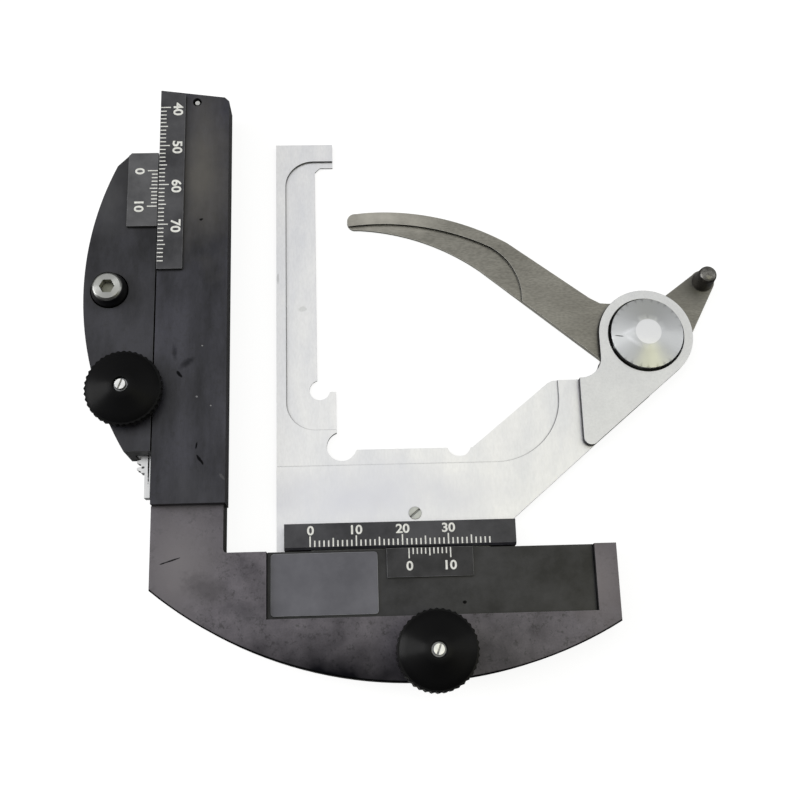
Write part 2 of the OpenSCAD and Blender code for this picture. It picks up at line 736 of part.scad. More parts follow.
module clamp_collar() {
    color("#2b2b2d") translate([clamp_x, clamp_y, collar_base]) rotate_extrude()
        polygon([[clamp_thread_r + running_gap, 0], [collar_r, 0], [collar_r, collar_foot_h],
            [collar_top_r, collar_h], [clamp_head_r + running_gap, collar_h],
            [clamp_head_r + running_gap, collar_floor], [clamp_thread_r + running_gap, collar_floor]]);
}

module clamp_retaining_ring() {
    color("#8d8f92") translate([clamp_x, clamp_y, clamp_ring_top - clamp_ring_t]) difference() {
        cylinder(r = clamp_ring_r, h = clamp_ring_t);
        translate([0, 0, -overrun])
            cylinder(r = clamp_thread_r + running_gap, h = clamp_ring_t + 2 * overrun);
    }
}

module clamp_screw() {
    color("#d9dadb") translate([clamp_x, clamp_y, 0]) difference() {
        rotate_extrude() polygon([[0, clamp_tip_gap], [clamp_thread_r - clamp_tip_gap, clamp_tip_gap],
            [clamp_thread_r, 2 * clamp_tip_gap], [clamp_thread_r, clamp_head_base],
            [clamp_head_r, clamp_head_base],
            [clamp_head_r, clamp_head_base + clamp_head_h - clamp_head_chamfer],
            [clamp_head_r - clamp_head_chamfer, clamp_head_base + clamp_head_h],
            [0, clamp_head_base + clamp_head_h]]);
        translate([0, 0, clamp_head_base + clamp_head_h - socket_depth])
            cylinder(d = socket_flats / cos(30), h = socket_depth + overrun, $fn = 6);
    }
}

// Cross frame and the arm

module frame_outline() {
    inner = [foot_right + frame_corner_r, frame_far + frame_corner_r];
    intersection() {
        translate([frame_arc_x, frame_arc_y]) circle(r = frame_arc_r, $fn = 360);
        polygon(concat(
            [[frame_left, frame_near - overrun], [frame_right, frame_near - overrun],
            [frame_right, frame_far]],
            arc(inner, frame_corner_r, 270, 180, 6),
            [[foot_right, arm_near], [frame_left, arm_near]]));
    }
}

module bottom_plate_outline(gap) {
    intersection() {
        translate([frame_arc_x, frame_arc_y])
            circle(r = frame_arc_r - bottom_plate_rim - gap, $fn = 360);
        polygon([[bottom_plate_left + gap, frame_near], [bottom_plate_right - gap, frame_near],
            [bottom_plate_right - gap, bottom_plate_far - gap],
            [bottom_plate_left + gap, bottom_plate_far - gap]]);
    }
}

module bottom_plate_screw_places() {
    left = (bottom_plate_left + slider_room_left) / 2;
    right = (bottom_plate_right + slider_room_right) / 2;
    low = cross_pinion_y - glide;
    for (at = [[left, slider_far], [left, slider_near], [right, slider_far], [right, slider_near],
        [cross_pinion_x - 2 * knob_r, low], [cross_pinion_x + 2 * knob_r, low]])
        translate([at.x, at.y, frame_base]) children();
}

bottom_screw_length = 3 * bottom_plate_t;

module frame_casting() {
    pinion = [cross_pinion_x, cross_pinion_y];
    color("#5f5d60") difference() {
        union() {
            slab(frame_base, frame_top) frame_outline();
            block([arm_left, arm_near - overrun, frame_base], [foot_right, tongue_far, arm_base]);
        }
        block([slider_room_left - pocket_end, pocket_near, cover_base],
            [slider_room_right + pocket_end, frame_far + overrun, frame_top + overrun]);
        block([slider_room_left, slider_near - glide, frame_base],
            [slider_room_right, slider_far + glide, frame_top]);
        block([slider_room_left, slider_far, guide_floor + guide_lip_h],
            [slider_room_right, frame_far + overrun, frame_top]);
        block([rack_room_left, rack_room_near, frame_base],
            [rack_room_right, slider_near, rack_room_top]);
        round_bar(pinion, cross_well_r, frame_base, cross_well_top);
        round_bar(pinion, bush_r + slip, frame_base, frame_top + overrun);
        slab(frame_base - overrun, guide_floor) bottom_plate_outline(0);
        bottom_plate_screw_places() small_hole(bottom_screw_length);
        cover_screw_places() mirror([0, 0, 1]) fine_hole(cover_screw_length);
        arm_screw_places() arm_hole();
    }
}

module arm_screw_places() {
    for (share = [0.3, 0.75])
        translate([arm_left + arm_w / 2, arm_near + share * (tongue_far - arm_near), frame_base])
            children();
}

arm_screw_length = 3 * (arm_base - frame_base);

module arm_hole() { screw_up_hole(arm_head_r, arm_head_h, arm_shank_r, arm_screw_length); }

module arm_screws() {
    color("#8d8f92") arm_screw_places() screw_up(arm_head_r, arm_head_h, arm_shank_r, arm_screw_length);
}

stop_pin_at = [arm_left + stop_pin_in, arm_far - stop_pin_back];

module arm_bar() {
    right = arm_left + arm_w;
    color("#3a3a3e") difference() {
        slab(arm_base, arm_top) polygon([[arm_left, arm_near], [right, arm_near],
            [right, arm_far - arm_slope - arm_corner], [right - arm_corner, arm_far - arm_slope],
            [arm_left, arm_far]]);
        arm_screw_places() arm_hole();
        round_bar(stop_pin_at, stop_hole_r, arm_top - stop_hole_depth, arm_top + overrun);
        round_bar(stop_pin_at, stop_pin_r + slip, arm_top - stop_pin_sink - stop_pin_h, arm_top);
        rail_screw_places() rail_hole();
    }
}

module arm_stop_pin() {
    top = arm_top - stop_pin_sink;
    color("#d6d7d8") round_bar(stop_pin_at, stop_pin_r, top - stop_pin_h, top);
}

module arm_scale_plate() {
    far = arm_far - arm_scale_back;
    color("#48484a") slab(arm_top, arm_top + scale_plate_t)
        polygon([[arm_left, arm_scale_near], [arm_left + arm_scale_w, arm_scale_near],
            [arm_left + arm_scale_w, far - arm_slope * arm_scale_w / arm_w - arm_scale_back],
            [arm_left, far]]);
}

// The rail's screws lie along X, two through the rack and two through the rail alone

rail_screw_length = rack_back + rail_head_t + 3 * rail_web_t;
rack_screw_ys = [arm_rack_near + rail_h / 2, arm_rack_far - rail_h / 2];
rail_screw_ys = [arm_rack_far + rail_screw_step - rail_h, arm_rack_far + 2 * rail_screw_step - rail_h];

module rail_screw_places() {
    for (y = rail_screw_ys) translate([rail_face, y, rail_mid]) rotate([0, 90, 0]) children();
    for (y = rack_screw_ys) translate([arm_rack_root, y, rail_mid]) rotate([0, 90, 0]) children();
}

module rail_hole() { fine_hole(rail_screw_length); }

module rail_screws() { color("#8d8f92") rail_screw_places() fine_screw(rail_screw_length); }

module guide_rail() {
    web_base = rail_base + rail_lip;
    web_top = rail_top - rail_lip;
    color("#b7b8ba") difference() {
        translate([0, rail_far, 0]) rotate([90, 0, 0]) linear_extrude(rail_far - rail_near)
            polygon([[rail_face, rail_base], [rail_face + rail_head_t, rail_base],
                [rail_face + rail_head_t, web_base], [arm_left, web_base], [arm_left, web_top],
                [rail_face + rail_head_t, web_top], [rail_face + rail_head_t, rail_top],
                [rail_face, rail_top]]);
        rail_screw_places() rail_hole();
    }
}

module arm_rack() {
    color("#c9cacb") difference() {
        slab(rail_base, rail_top) translate([arm_rack_line, 0])
            rack_outline(arm_rack_near, arm_rack_far, arm_pinion_y, rail_face - arm_rack_line);
        rail_screw_places() rail_hole();
    }
}

module frame_bottom_plate() {
    color("#6f7174") difference() {
        slab(frame_base, guide_floor) bottom_plate_outline(recess_gap);
        round_bar([cross_pinion_x, cross_pinion_y], pivot_r + running_gap, guide_floor - pivot_depth,
            guide_floor + overrun);
        bottom_plate_screw_places() small_hole(bottom_screw_length);
    }
}

module bottom_plate_screws() {
    color("#b9bbbd") bottom_plate_screw_places() small_screw(bottom_screw_length);
}

// Cover over the slider, with the plates on it

cover_screw_length = cover_base - rack_room_top + cover_t - glide;

module cover_screw_places() {
    y = blank_plate_near + fine_head_r + slip;
    for (share = [0.15, 0.85])
        translate([blank_plate_left + share * blank_plate_w, y, cover_top]) children();
}

module guide_cover() {
    color("#38393b") difference() {
        block([slider_room_left - pocket_end + recess_gap, pocket_near + recess_gap, cover_base],
            [slider_room_right + pocket_end - recess_gap, frame_far, cover_top]);
        cover_screw_places() mirror([0, 0, 1]) fine_hole(cover_screw_length);
    }
}

module cover_screws() {
    color("#8d8f92") cover_screw_places() mirror([0, 0, 1]) fine_screw(cover_screw_length);
}

module blank_plate() {
    r = blank_plate_corner;
    low = [blank_plate_left + r, blank_plate_near + r];
    high = [blank_plate_left + blank_plate_w - r, blank_plate_far - r];
    color("#5b5d61") slab(cover_top, cover_top + blank_plate_t) polygon(concat(arc(low, r, 180, 270, 6),
        arc([high.x, low.y], r, 270, 360, 6), arc(high, r, 0, 90, 6), arc([low.x, high.y], r, 90, 180, 6)));
}

module cross_vernier_plate() {
    far = block_near - block_gap / 2;
    color("#3d3e41") block([cross_vernier_left, far - cross_vernier_d, cover_top],
        [cross_vernier_left + cross_vernier_w, far, cover_top + scale_plate_t]);
}

module cross_knob_bush() {
    color("#2e2e30") bush([cross_pinion_x, cross_pinion_y], cross_well_top, frame_top,
        cross_bush_flange_t);
}

// Pinion shafts and knobs

arm_knob_base = housing_h + arm_bush_flange_t + knob_gap;
cross_knob_base = frame_top + cross_bush_flange_t + knob_gap;

function knob_top(base, rim_h) = base + rim_h + knob_cone_h;

module pinion_shaft(at, teeth, plate_top, tooth_base, tooth_top, knob_base, rim_h) {
    top = knob_top(knob_base, rim_h) - knob_recess_depth;
    difference() {
        union() {
            round_bar(at, pivot_r, plate_top - pivot_depth + slip, tooth_base);
            round_bar(at, shaft_r, plate_top + slip, top);
            translate([at.x, at.y, 0]) slab(tooth_base, tooth_top) pinion_outline(teeth);
        }
        round_bar(at, knob_screw_r + slip, top - knob_screw_length - slip, top + overrun);
    }
}

module arm_pinion_shaft() {
    color("#a9abad") pinion_shaft([arm_pinion_x, arm_pinion_y], arm_pinion_teeth, pinion_plate_t,
        rail_base, rail_top, arm_knob_base, arm_knob_rim_h);
}

module cross_pinion_shaft() {
    color("#a9abad") translate([cross_pinion_x, cross_pinion_y, 0]) rotate(90)
        pinion_shaft([0, 0], cross_pinion_teeth, guide_floor, slider_base, cross_rack_top,
            cross_knob_base, cross_knob_rim_h);
}

// A knob with a finely serrated rim and a conical top, round a sunk screw
module knob(at, base, rim_h) {
    rim_top = base + rim_h;
    top = knob_top(base, rim_h);
    step = full_turn / serrations;
    inner_r = knob_r - 2 * serration_depth;
    translate([at.x, at.y, 0]) difference() {
        union() {
            slab(base + knob_chamfer, rim_top - knob_chamfer)
                polygon([for (k = [0 : serrations - 1], half = [0, 1])
                    turned(knob_r - half * serration_depth, step * (k + half / 2))]);
            rotate_extrude() polygon([[0, base], [inner_r - knob_chamfer, base],
                [inner_r, base + knob_chamfer], [inner_r, rim_top - knob_chamfer],
                [inner_r - knob_chamfer, rim_top], [knob_flat_r, top], [0, top]]);
        }
        translate([0, 0, base - overrun]) cylinder(r = shaft_r + slip, h = top - base + overrun);
        translate([0, 0, top - knob_recess_depth])
            cylinder(r = knob_recess_r, h = knob_recess_depth + overrun);
    }
}

module arm_knob() {
    color("#1b1b1c") knob([arm_pinion_x, arm_pinion_y], arm_knob_base, arm_knob_rim_h);
}

module cross_knob() {
    color("#1b1b1c") knob([cross_pinion_x, cross_pinion_y], cross_knob_base, cross_knob_rim_h);
}

module knob_screw(at, base, rim_h) {
    seat = knob_top(base, rim_h) - knob_recess_depth;
    top = seat + knob_screw_head_h;
    slot_w = slot_w_share * knob_screw_head_r;
    color("#d2d3d4") difference() {
        union() {
            round_bar(at, knob_screw_r, seat - knob_screw_length, seat);
            round_bar(at, knob_screw_head_r, seat, top);
        }
        translate([at.x, at.y, top - slot_depth_share * knob_screw_head_h]) rotate(70)
            translate([-knob_screw_head_r - overrun, -slot_w / 2, 0])
                cube([2 * (knob_screw_head_r + overrun), slot_w, knob_screw_head_h]);
    }
}

module arm_knob_screw() { knob_screw([arm_pinion_x, arm_pinion_y], arm_knob_base, arm_knob_rim_h); }

module cross_knob_screw() {
    knob_screw([cross_pinion_x, cross_pinion_y], cross_knob_base, cross_knob_rim_h);
}

// Cross slider with its rack, inside the frame

module cross_slider() {
    neck_base = guide_floor + guide_lip_h + glide;
    color("#8a8c8f") difference() {
        union() {
            block([slider_left, slider_near, slider_base], [slider_right, slider_far, slider_top]);
            block([slider_left, slider_far - glide, neck_base], [slider_right, block_near, slider_top]);
        }
        block([cross_rack_left - slip, slider_near - overrun, slider_base - overrun],
            [cross_rack_right + slip, slider_near + cross_rack_lap + slip, cross_rack_top]);
        cross_rack_screw_places() small_hole(cross_rack_screw_length);
        block_screw_places() block_screw_hole();
    }
}

module cross_rack() {
    back = slider_near + cross_rack_lap;
    color("#c9cacb") difference() {
        slab(slider_base, cross_rack_top) translate([0, cross_rack_line]) rotate(90)
            rack_outline(-cross_rack_right, -cross_rack_left, -cross_pinion_x, back - cross_rack_line);
        cross_rack_screw_places() small_hole(cross_rack_screw_length);
    }
}

cross_rack_screw_length = cross_rack_h + glide + guide_lip_h / 2 + glide;

module cross_rack_screw_places() {
    for (share = [0.2, 0.8]) translate([cross_rack_left + share * (cross_rack_right - cross_rack_left),
        slider_near + cross_rack_lap / 2, slider_base]) children();
}

module cross_rack_screws() {
    color("#b9bbbd") cross_rack_screw_places() small_screw(cross_rack_screw_length);
}

// Scale block on the holder, screwed to the slider's neck through its back

module cross_scale_block() {
    color("#404144") difference() {
        translate([block_left, 0, 0]) rotate([90, 0, 90]) linear_extrude(block_right - block_left)
            polygon([[block_near, holder_top], [block_near + block_d, holder_top],
                [block_near + block_d, block_top], [block_near + block_chamfer, block_top],
                [block_near, block_top - block_chamfer]]);
        block_screw_places() block_screw_hole();
        holder_screw_places() small_hole(holder_screw_length);
    }
}

block_screw_head_r = small_head_r;
block_screw_head_h = 2 * small_shank_r;
block_screw_length = block_d + (block_near - slider_far) - glide;

module block_screw_places() {
    z = (guide_floor + guide_lip_h + glide + slider_top) / 2;
    for (share = [0.2, 0.8])
        translate([slider_left + share * (slider_right - slider_left), block_near + block_d, z])
            rotate([90, 0, 0]) children();
}

module block_screw_hole() {
    translate([0, 0, -overrun]) cylinder(r = block_screw_head_r + slip, h = block_screw_head_h + overrun);
    cylinder(r = small_shank_r + slip, h = block_screw_length + slip);
}

module block_screws() {
    slot_w = slot_w_share * block_screw_head_r;
    color("#8d8f92") block_screw_places() difference() {
        union() {
            cylinder(r = block_screw_head_r, h = block_screw_head_h);
            cylinder(r = small_shank_r, h = block_screw_length);
        }
        translate([-block_screw_head_r - overrun, -slot_w / 2, -overrun])
            cube([2 * (block_screw_head_r + overrun), slot_w,
                slot_depth_share * block_screw_head_h + overrun]);
    }
}

// Specimen holder

// Outer edge of the holder and lug, a line at the lug's slant that touches the ring
function slant_point(x) =
    [x, clip_pivot_y + (x - clip_pivot_x) * tan(lug_slant) - lug_ring_r / cos(lug_slant)];

module holder_outline() {
    tab_relief = [ledge_x + tab_relief_r / 4, tab_far + tab_relief_r / 6];
    seat_relief = [stop_x + seat_relief_r / 3, seat_y + seat_relief_r / 4];
    end_relief = [seat_right - end_relief_r * 9 / 8, seat_y + end_relief_r / 4];
    tip = slant_point(lug_left + 2 * lug_tip_r);
    low_x = block_right - 1.3 * block_d;
    difference() {
        polygon(concat(
            [[holder_left, block_near], [low_x, block_near], tip, slant_point(clip_pivot_x),
            clip_pivot, [clip_pivot_x - lug_ring_r, clip_pivot_y - lug_fillet]],
            lug_fillet_arc(),
            [[shoulder_left + hook_fillet, shoulder_far], [shoulder_left, shoulder_far - hook_fillet / 2],
            [seat_right, seat_y], [stop_x, seat_y], [stop_x, tab_far], [ledge_x, tab_far],
            [ledge_x, hook_near - hook_fillet], [ledge_x + hook_fillet, hook_near],
            [stop_x, hook_near], [stop_x, holder_far], [holder_left, holder_far]]));
        translate(tab_relief) circle(r = tab_relief_r);
        translate(seat_relief) circle(r = seat_relief_r);
        translate(end_relief) circle(r = end_relief_r);
        translate(clip_pivot) circle(r = clip_swing_r);
    }
}

function lug_fillet_arc() =
    arc([clip_pivot_x - lug_ring_r - lug_fillet, shoulder_far + lug_fillet], lug_fillet, 0, -90, 8);

module ledge_outline() {
    r = ledge_corner_r;
    left = holder_left + ledge_rim;
    right = stop_x + overrun;
    polygon(concat(arc([left + r, ledge_near + r], r, 180, 270, 12), [[right, ledge_near],
        [right, ledge_far]], arc([left + r, ledge_far - r], r, 90, 180, 12)));
}

module holder_plate() {
    arc_y = raised_far + raised_arc_r;
    color("#d5d6d8") difference() {
        slab(holder_base, holder_top) holder_outline();
        slab(holder_mid, holder_top + overrun) {
            translate([holder_left - overrun, raised_far])
                square([raised_arc_x - holder_left + overrun, holder_far + overrun - raised_far]);
            translate([raised_arc_x, arc_y]) circle(r = raised_arc_r);
            translate([raised_arc_x - overrun, arc_y])
                square([raised_arc_r + overrun, holder_far - arc_y]);
        }
        slab(holder_ledge, holder_top) ledge_outline();
        holder_screw_places() small_hole(holder_screw_length);
        lug_screw_places() small_hole(lug_screw_length);
        round_bar([level_screw_x, level_screw_y], level_screw_r + slip, 0, holder_top + overrun);
    }
}

holder_screw_length = 2 * holder_t;

module holder_screw_places() {
    for (share = [0.08, 0.82]) translate([block_left + share * (block_right - block_left),
        block_near + block_d / 2, holder_base]) children();
}

module holder_screws() { color("#b9bbbd") holder_screw_places() small_screw(holder_screw_length); }

module level_screw() {
    top = holder_top + level_screw_proud;
    slot_w = slot_w_share * level_screw_r;
    color("#a9aba6") difference() {
        round_bar([level_screw_x, level_screw_y], level_screw_r, holder_base, top);
        translate([level_screw_x, level_screw_y, top - slot_depth_share * holder_t / 2]) rotate(40)
            translate([-level_screw_r - overrun, -slot_w / 2, 0])
                cube([2 * (level_screw_r + overrun), slot_w, holder_t]);
    }
}

module lug_leg_outline() {
    tip = [lug_left + lug_tip_r, slant_point(lug_left + lug_tip_r).y + lug_tip_r / cos(lug_slant)];
    touch = clip_pivot + turned(lug_ring_r, lug_slant - 90);
    polygon(concat(arc(tip, lug_tip_r, -180, lug_slant - 90, 12), [touch, clip_pivot,
        [clip_pivot_x - lug_ring_r, clip_pivot_y]], lug_fillet_arc(), [[lug_left, shoulder_far]]));
}

module clip_lug() {
    color("#d3d4d6") difference() {
        union() {
            slab(holder_top, lug_top) lug_leg_outline();
            round_bar(clip_pivot, lug_ring_r, lug_floor_base, lug_top);
        }
        round_bar(clip_pivot, lug_bore_r, lug_floor_top, lug_top + overrun);
        round_bar(clip_pivot, clip_swing_r, 0, lug_floor_base);
        round_bar(clip_pivot, journal_r + running_gap, 0, lug_top);
        round_bar(spring_pin_at, spring_pin_r + slip, 0, lug_top);
        lug_screw_places() small_hole(lug_screw_length);
    }
}

lug_screw_length = holder_t + lug_t * 2 / 3;

module lug_screw_places() {
    for (share = [1.36, 1.95]) {
        at = clip_pivot - turned(share * lug_ring_r, lug_slant + 15);
        translate([at.x, at.y, holder_base]) children();
    }
}

module lug_screws() { color("#b9bbbd") lug_screw_places() small_screw(lug_screw_length); }

// Clip pivot: spiral spring inside the ring, under a turned cap

spring_pin_at = clip_pivot + turned(spring_outer_r + spring_t / 2 + spring_pin_r, 200);

module spring_pin() {
    color("#b9bbbd") round_bar(spring_pin_at, spring_pin_r, lug_floor_base, cap_room_top - glide);
}

module clip_spring() {
    steps = spring_turns * 24;
    base = (cap_base + cap_room_top - spring_h) / 2;
    function coil(i, side) = clip_pivot + turned(spring_inner_r + side * spring_t / 2
        + (spring_outer_r - spring_inner_r) * i / steps, 200 + i * 15);
    color("#9a9c9f") slab(base, base + spring_h) polygon(concat([for (i = [0 : steps]) coil(i, 1)],
        [for (i = [steps : -1 : 0]) coil(i, -1)]));
}

module clip_cap() {
    color("#c3c5c6") difference() {
        translate([clip_pivot.x, clip_pivot.y, 0]) rotate_extrude() polygon([[0, cap_base],
            [cap_r, cap_base], [cap_r, cap_rim_top], [cap_flat_r, cap_rim_top + cap_cone_h],
            [0, cap_rim_top + cap_cone_h]]);
        round_bar(clip_pivot, cap_room_r, 0, cap_room_top);
        round_bar(clip_pivot, journal_end_r + slip, 0, cap_room_top + journal_end_h);
    }
}

module clip_pivot() {
    color("#b9bbbd") {
        round_bar(clip_pivot, journal_end_r, holder_base, cap_room_top + journal_end_h - slip);
        round_bar(clip_pivot, journal_r, clip_top, cap_room_top);
    }
}

// Sprung clip with its thumb pin

// Angles at which the outline enters and leaves the rounded tip
clip_tip_turn = [262, 84];

module clip_outline() {
    tip = clip_pivot + [-clip_reach, clip_rise];
    outer = tip + [clip_reach * 0.091, clip_tip_r * 1.17 - clip_outer_r];
    inner = tip + [-clip_reach * 0.042, -clip_tip_r * 0.92 - clip_inner_r];
    polygon(concat(
        arc(tip, clip_tip_r, clip_tip_turn[0], clip_tip_turn[1], 16),
        arc(outer, clip_outer_r, 94, 58.5, 24),
        [for (share = [[-1.25, 1.015], [-1, 0.875], [-0.8, 0.86]]) clip_pivot + clip_hub_r * share],
        arc(clip_pivot, clip_hub_r, 120, 65, 8),
        arc(thumb_at, tail_end_r, 140, -25, 20),
        arc(clip_pivot, clip_hub_r, -21, -120, 12),
        [clip_pivot + clip_hub_r * [-0.86, -0.74]],
        arc(inner, clip_inner_r, 51.9, 86, 24)));
}

module clip_step_outline() {
    tip = clip_pivot + [-clip_reach, clip_rise];
    long = tip + [clip_reach * 0.087, -clip_tip_r * 0.385 - clip_step_r];
    turn = long + turned(clip_step_r, 62.8);
    bend = turn - turned(clip_turn_r, 57.7);
    intersection() {
        translate(long) circle(r = clip_step_r, $fn = 360);
        translate([tip.x - clip_reach, 0])
            square([turn.x - tip.x + clip_reach, clip_pivot_y + clip_reach]);
    }
    intersection() {
        translate(bend) circle(r = clip_turn_r, $fn = 180);
        translate([turn.x, 0]) square([clip_reach, clip_pivot_y + clip_reach]);
    }
}

module clip_finger() {
    color("#7b7973") difference() {
        slab(holder_base, clip_top) clip_outline();
        slab(holder_base + clip_jaw_t, clip_top + overrun) clip_step_outline();
        round_bar(clip_pivot, journal_end_r + slip, 0, clip_top + overrun);
        round_bar(thumb_at, thumb_rivet_r + slip, 0, clip_top + overrun);
    }
}

module thumb_pin() {
    dome = thumb_head_r / 2;
    color("#2c2b29") translate([thumb_at.x, thumb_at.y, 0]) rotate_extrude()
        polygon(concat([[0, holder_base], [thumb_rivet_r, holder_base], [thumb_rivet_r, clip_top],
            [thumb_foot_r, clip_top], [thumb_head_r, clip_top + thumb_h - dome]],
            [for (a = [15 : 15 : 75]) [thumb_head_r * cos(a), clip_top + thumb_h - dome + dome * sin(a)]],
            [[0, clip_top + thumb_h]]));
}

placed() base_housing();
placed() arm_vernier_plate();
placed() arm_knob_bush();
placed() pinion_plate();
placed() pinion_plate_screws();
placed() clamp_collar();
placed() clamp_retaining_ring();
placed() clamp_screw();
placed() frame_casting();
placed() arm_bar();
placed() arm_screws();
placed() arm_stop_pin();
placed() arm_scale_plate();
placed() guide_rail();
placed() arm_rack();
placed() rail_screws();
placed() frame_bottom_plate();
placed() bottom_plate_screws();
placed() guide_cover();
placed() cover_screws();
placed() blank_plate();
placed() cross_vernier_plate();
placed() cross_knob_bush();
placed() arm_pinion_shaft();
placed() arm_knob();
placed() arm_knob_screw();
placed() cross_pinion_shaft();
placed() cross_knob();
placed() cross_knob_screw();
placed() cross_slider();
placed() cross_rack();
placed() cross_rack_screws();
placed() cross_scale_block();
placed() block_screws();
placed() holder_plate();
placed() holder_screws();
placed() level_screw();
placed() clip_lug();
placed() lug_screws();
placed() spring_pin();
placed() clip_spring();
placed() clip_finger();
placed() clip_pivot();
placed() clip_cap();
placed() thumb_pin();
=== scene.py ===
"""Looks of an attachable mechanical microscope stage, built round its CAD pieces."""
import json
import math

import bpy
from mathutils import Matrix, Vector

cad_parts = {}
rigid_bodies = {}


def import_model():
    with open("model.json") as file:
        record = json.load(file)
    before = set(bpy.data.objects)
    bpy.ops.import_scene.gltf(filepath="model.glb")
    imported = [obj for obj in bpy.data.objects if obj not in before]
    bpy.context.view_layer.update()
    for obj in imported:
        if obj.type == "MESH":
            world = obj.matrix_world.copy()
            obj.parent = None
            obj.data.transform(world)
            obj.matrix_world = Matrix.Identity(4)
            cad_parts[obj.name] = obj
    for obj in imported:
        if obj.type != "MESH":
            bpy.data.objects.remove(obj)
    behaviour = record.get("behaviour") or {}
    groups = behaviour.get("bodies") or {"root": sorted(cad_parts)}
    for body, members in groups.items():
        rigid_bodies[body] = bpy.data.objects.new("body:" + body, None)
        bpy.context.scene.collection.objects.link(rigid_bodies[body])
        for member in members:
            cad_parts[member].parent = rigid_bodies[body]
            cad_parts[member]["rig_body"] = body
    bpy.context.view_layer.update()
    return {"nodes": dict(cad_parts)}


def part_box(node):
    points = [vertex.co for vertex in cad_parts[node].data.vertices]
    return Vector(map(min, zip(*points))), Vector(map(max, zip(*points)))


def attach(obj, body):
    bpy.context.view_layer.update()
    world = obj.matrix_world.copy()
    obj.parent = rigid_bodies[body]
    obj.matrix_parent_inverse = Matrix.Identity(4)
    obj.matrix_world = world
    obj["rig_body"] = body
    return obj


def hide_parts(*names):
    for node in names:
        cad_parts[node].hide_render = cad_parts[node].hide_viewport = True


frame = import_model()
nodes = frame["nodes"]
scene = bpy.context.scene

# Base housing.
# The real one is an aluminium block, milled to shape, that clamps to the side of the plain
# stage. It is sprayed with black enamel, which keeps a fine grain and is greyer in a patch at its
# far end.

block_low, block_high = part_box("cross_scale_block")
# From the block's corner to the zero mark of its scale, in mm.
zero_from_left = 5.63
zero_from_near = 0.9


def place(x, y, z=0.0):
    """The point at so many mm from the zero mark of the cross scale."""
    return Vector((block_low.x + (x + zero_from_left) / 1000,
                   block_low.y + (y + zero_from_near) / 1000, z / 1000))


def linear(code):
    """The linear colour, with alpha, of a code such as 38393c."""
    parts = [int(code[i:i + 2], 16) / 255 for i in (0, 2, 4)]
    return [c / 12.92 if c <= 0.04045 else ((c + 0.055) / 1.055) ** 2.4 for c in parts] + [1.0]


def add(material, kind, inputs=None, **settings):
    """Adds a node, sets its properties, and sets or links its inputs."""
    node = material.node_tree.nodes.new(kind)
    for name, value in settings.items():
        setattr(node, name, value)
    for name, value in (inputs or {}).items():
        if isinstance(value, bpy.types.NodeSocket):
            material.node_tree.links.new(value, node.inputs[name])
        else:
            node.inputs[name].default_value = value
    return node


# The width in mm of a blot on paint.
blot_size = 1.4


def coating(name, dark, light, roughness, metallic=0.0, patch=18.0, grain=0.3, relief=0.12,
            stretch=(1, 1, 1), grime_and_shade="050506", shade_and_dirt_depth=0.85, flecks=0.0, reach=0.4, blots=0.0):
    """A finish with patches, a fine grain, flecks, blots, and painted shade with dirt in corners,
    sized in mm.
    """
    material = bpy.data.materials.new(name)
    material.use_nodes = True
    material.node_tree.nodes.clear()
    coords = add(material, "ShaderNodeTexCoord").outputs["Object"]
    drawn = add(material, "ShaderNodeMapping", {"Vector": coords, "Scale": stretch}).outputs[0]
    patches = add(material, "ShaderNodeTexNoise", {
        "Vector": drawn, "Scale": 1000 / patch, "Detail": 6.0, "Roughness": 0.62}).outputs[0]
    blend = add(material, "ShaderNodeMapRange", {
        "Value": patches, "From Min": 0.36, "From Max": 0.66}).outputs[0]
    colour = add(material, "ShaderNodeMix", {
        0: blend, 6: linear(dark), 7: linear(light)}, data_type="RGBA").outputs[2]
    fine = add(material, "ShaderNodeTexNoise", {
        "Vector": drawn, "Scale": 1000 / grain, "Detail": 3.0}).outputs[0]
    fleck = add(material, "ShaderNodeMapRange", {
        "Value": fine, "From Min": 0.4, "From Max": 0.62, "To Min": 0.0,
        "To Max": flecks}).outputs[0]
    colour = add(material, "ShaderNodeMix", {
        0: fleck, 6: colour, 7: linear(grime_and_shade)}, data_type="RGBA").outputs[2]
    spatter = add(material, "ShaderNodeTexNoise", {
        "Vector": coords, "Scale": 1000 / blot_size, "Detail": 5.0, "Roughness": 0.75}).outputs[0]
    blot = add(material, "ShaderNodeMapRange", {
        "Value": spatter, "From Min": 0.54, "From Max": 0.66, "To Min": 0.0,
        "To Max": blots}).outputs[0]
    colour = add(material, "ShaderNodeMix", {
        0: blot, 6: colour, 7: linear(grime_and_shade)}, data_type="RGBA").outputs[2]
    # Painted shade with dirt: the colour darkens towards the grime colour in corners that the
    # occlusion node finds.
    open_air = add(material, "ShaderNodeAmbientOcclusion", {"Distance": reach / 1000}, samples=6)
    shade_and_dirt = add(material, "ShaderNodeMapRange", {
        "Value": open_air.outputs["AO"], "From Min": 0.92, "From Max": 0.5,
        "To Min": 0.0, "To Max": shade_and_dirt_depth}).outputs[0]
    colour = add(material, "ShaderNodeMix", {
        0: shade_and_dirt, 6: colour, 7: linear(grime_and_shade)}, data_type="RGBA").outputs[2]
    rough = add(material, "ShaderNodeMapRange", {
        "Value": patches, "From Min": 0.3, "From Max": 0.7,
        "To Min": roughness - 0.06, "To Max": roughness + 0.06}).outputs[0]
    sheen = add(material, "ShaderNodeMapRange", {
        "Value": patches, "From Min": 0.36, "From Max": 0.66,
        "To Min": 0.36, "To Max": 0.62}).outputs[0]
    bump = add(material, "ShaderNodeBump", {
        "Height": fine, "Strength": relief, "Distance": 0.00004}).outputs[0]
    shader = add(material, "ShaderNodeBsdfPrincipled", {
        "Base Color": colour, "Metallic": metallic, "Roughness": rough,
        "Specular IOR Level": sheen, "Normal": bump})
    add(material, "ShaderNodeOutputMaterial", {"Surface": shader.outputs[0]})
    return material


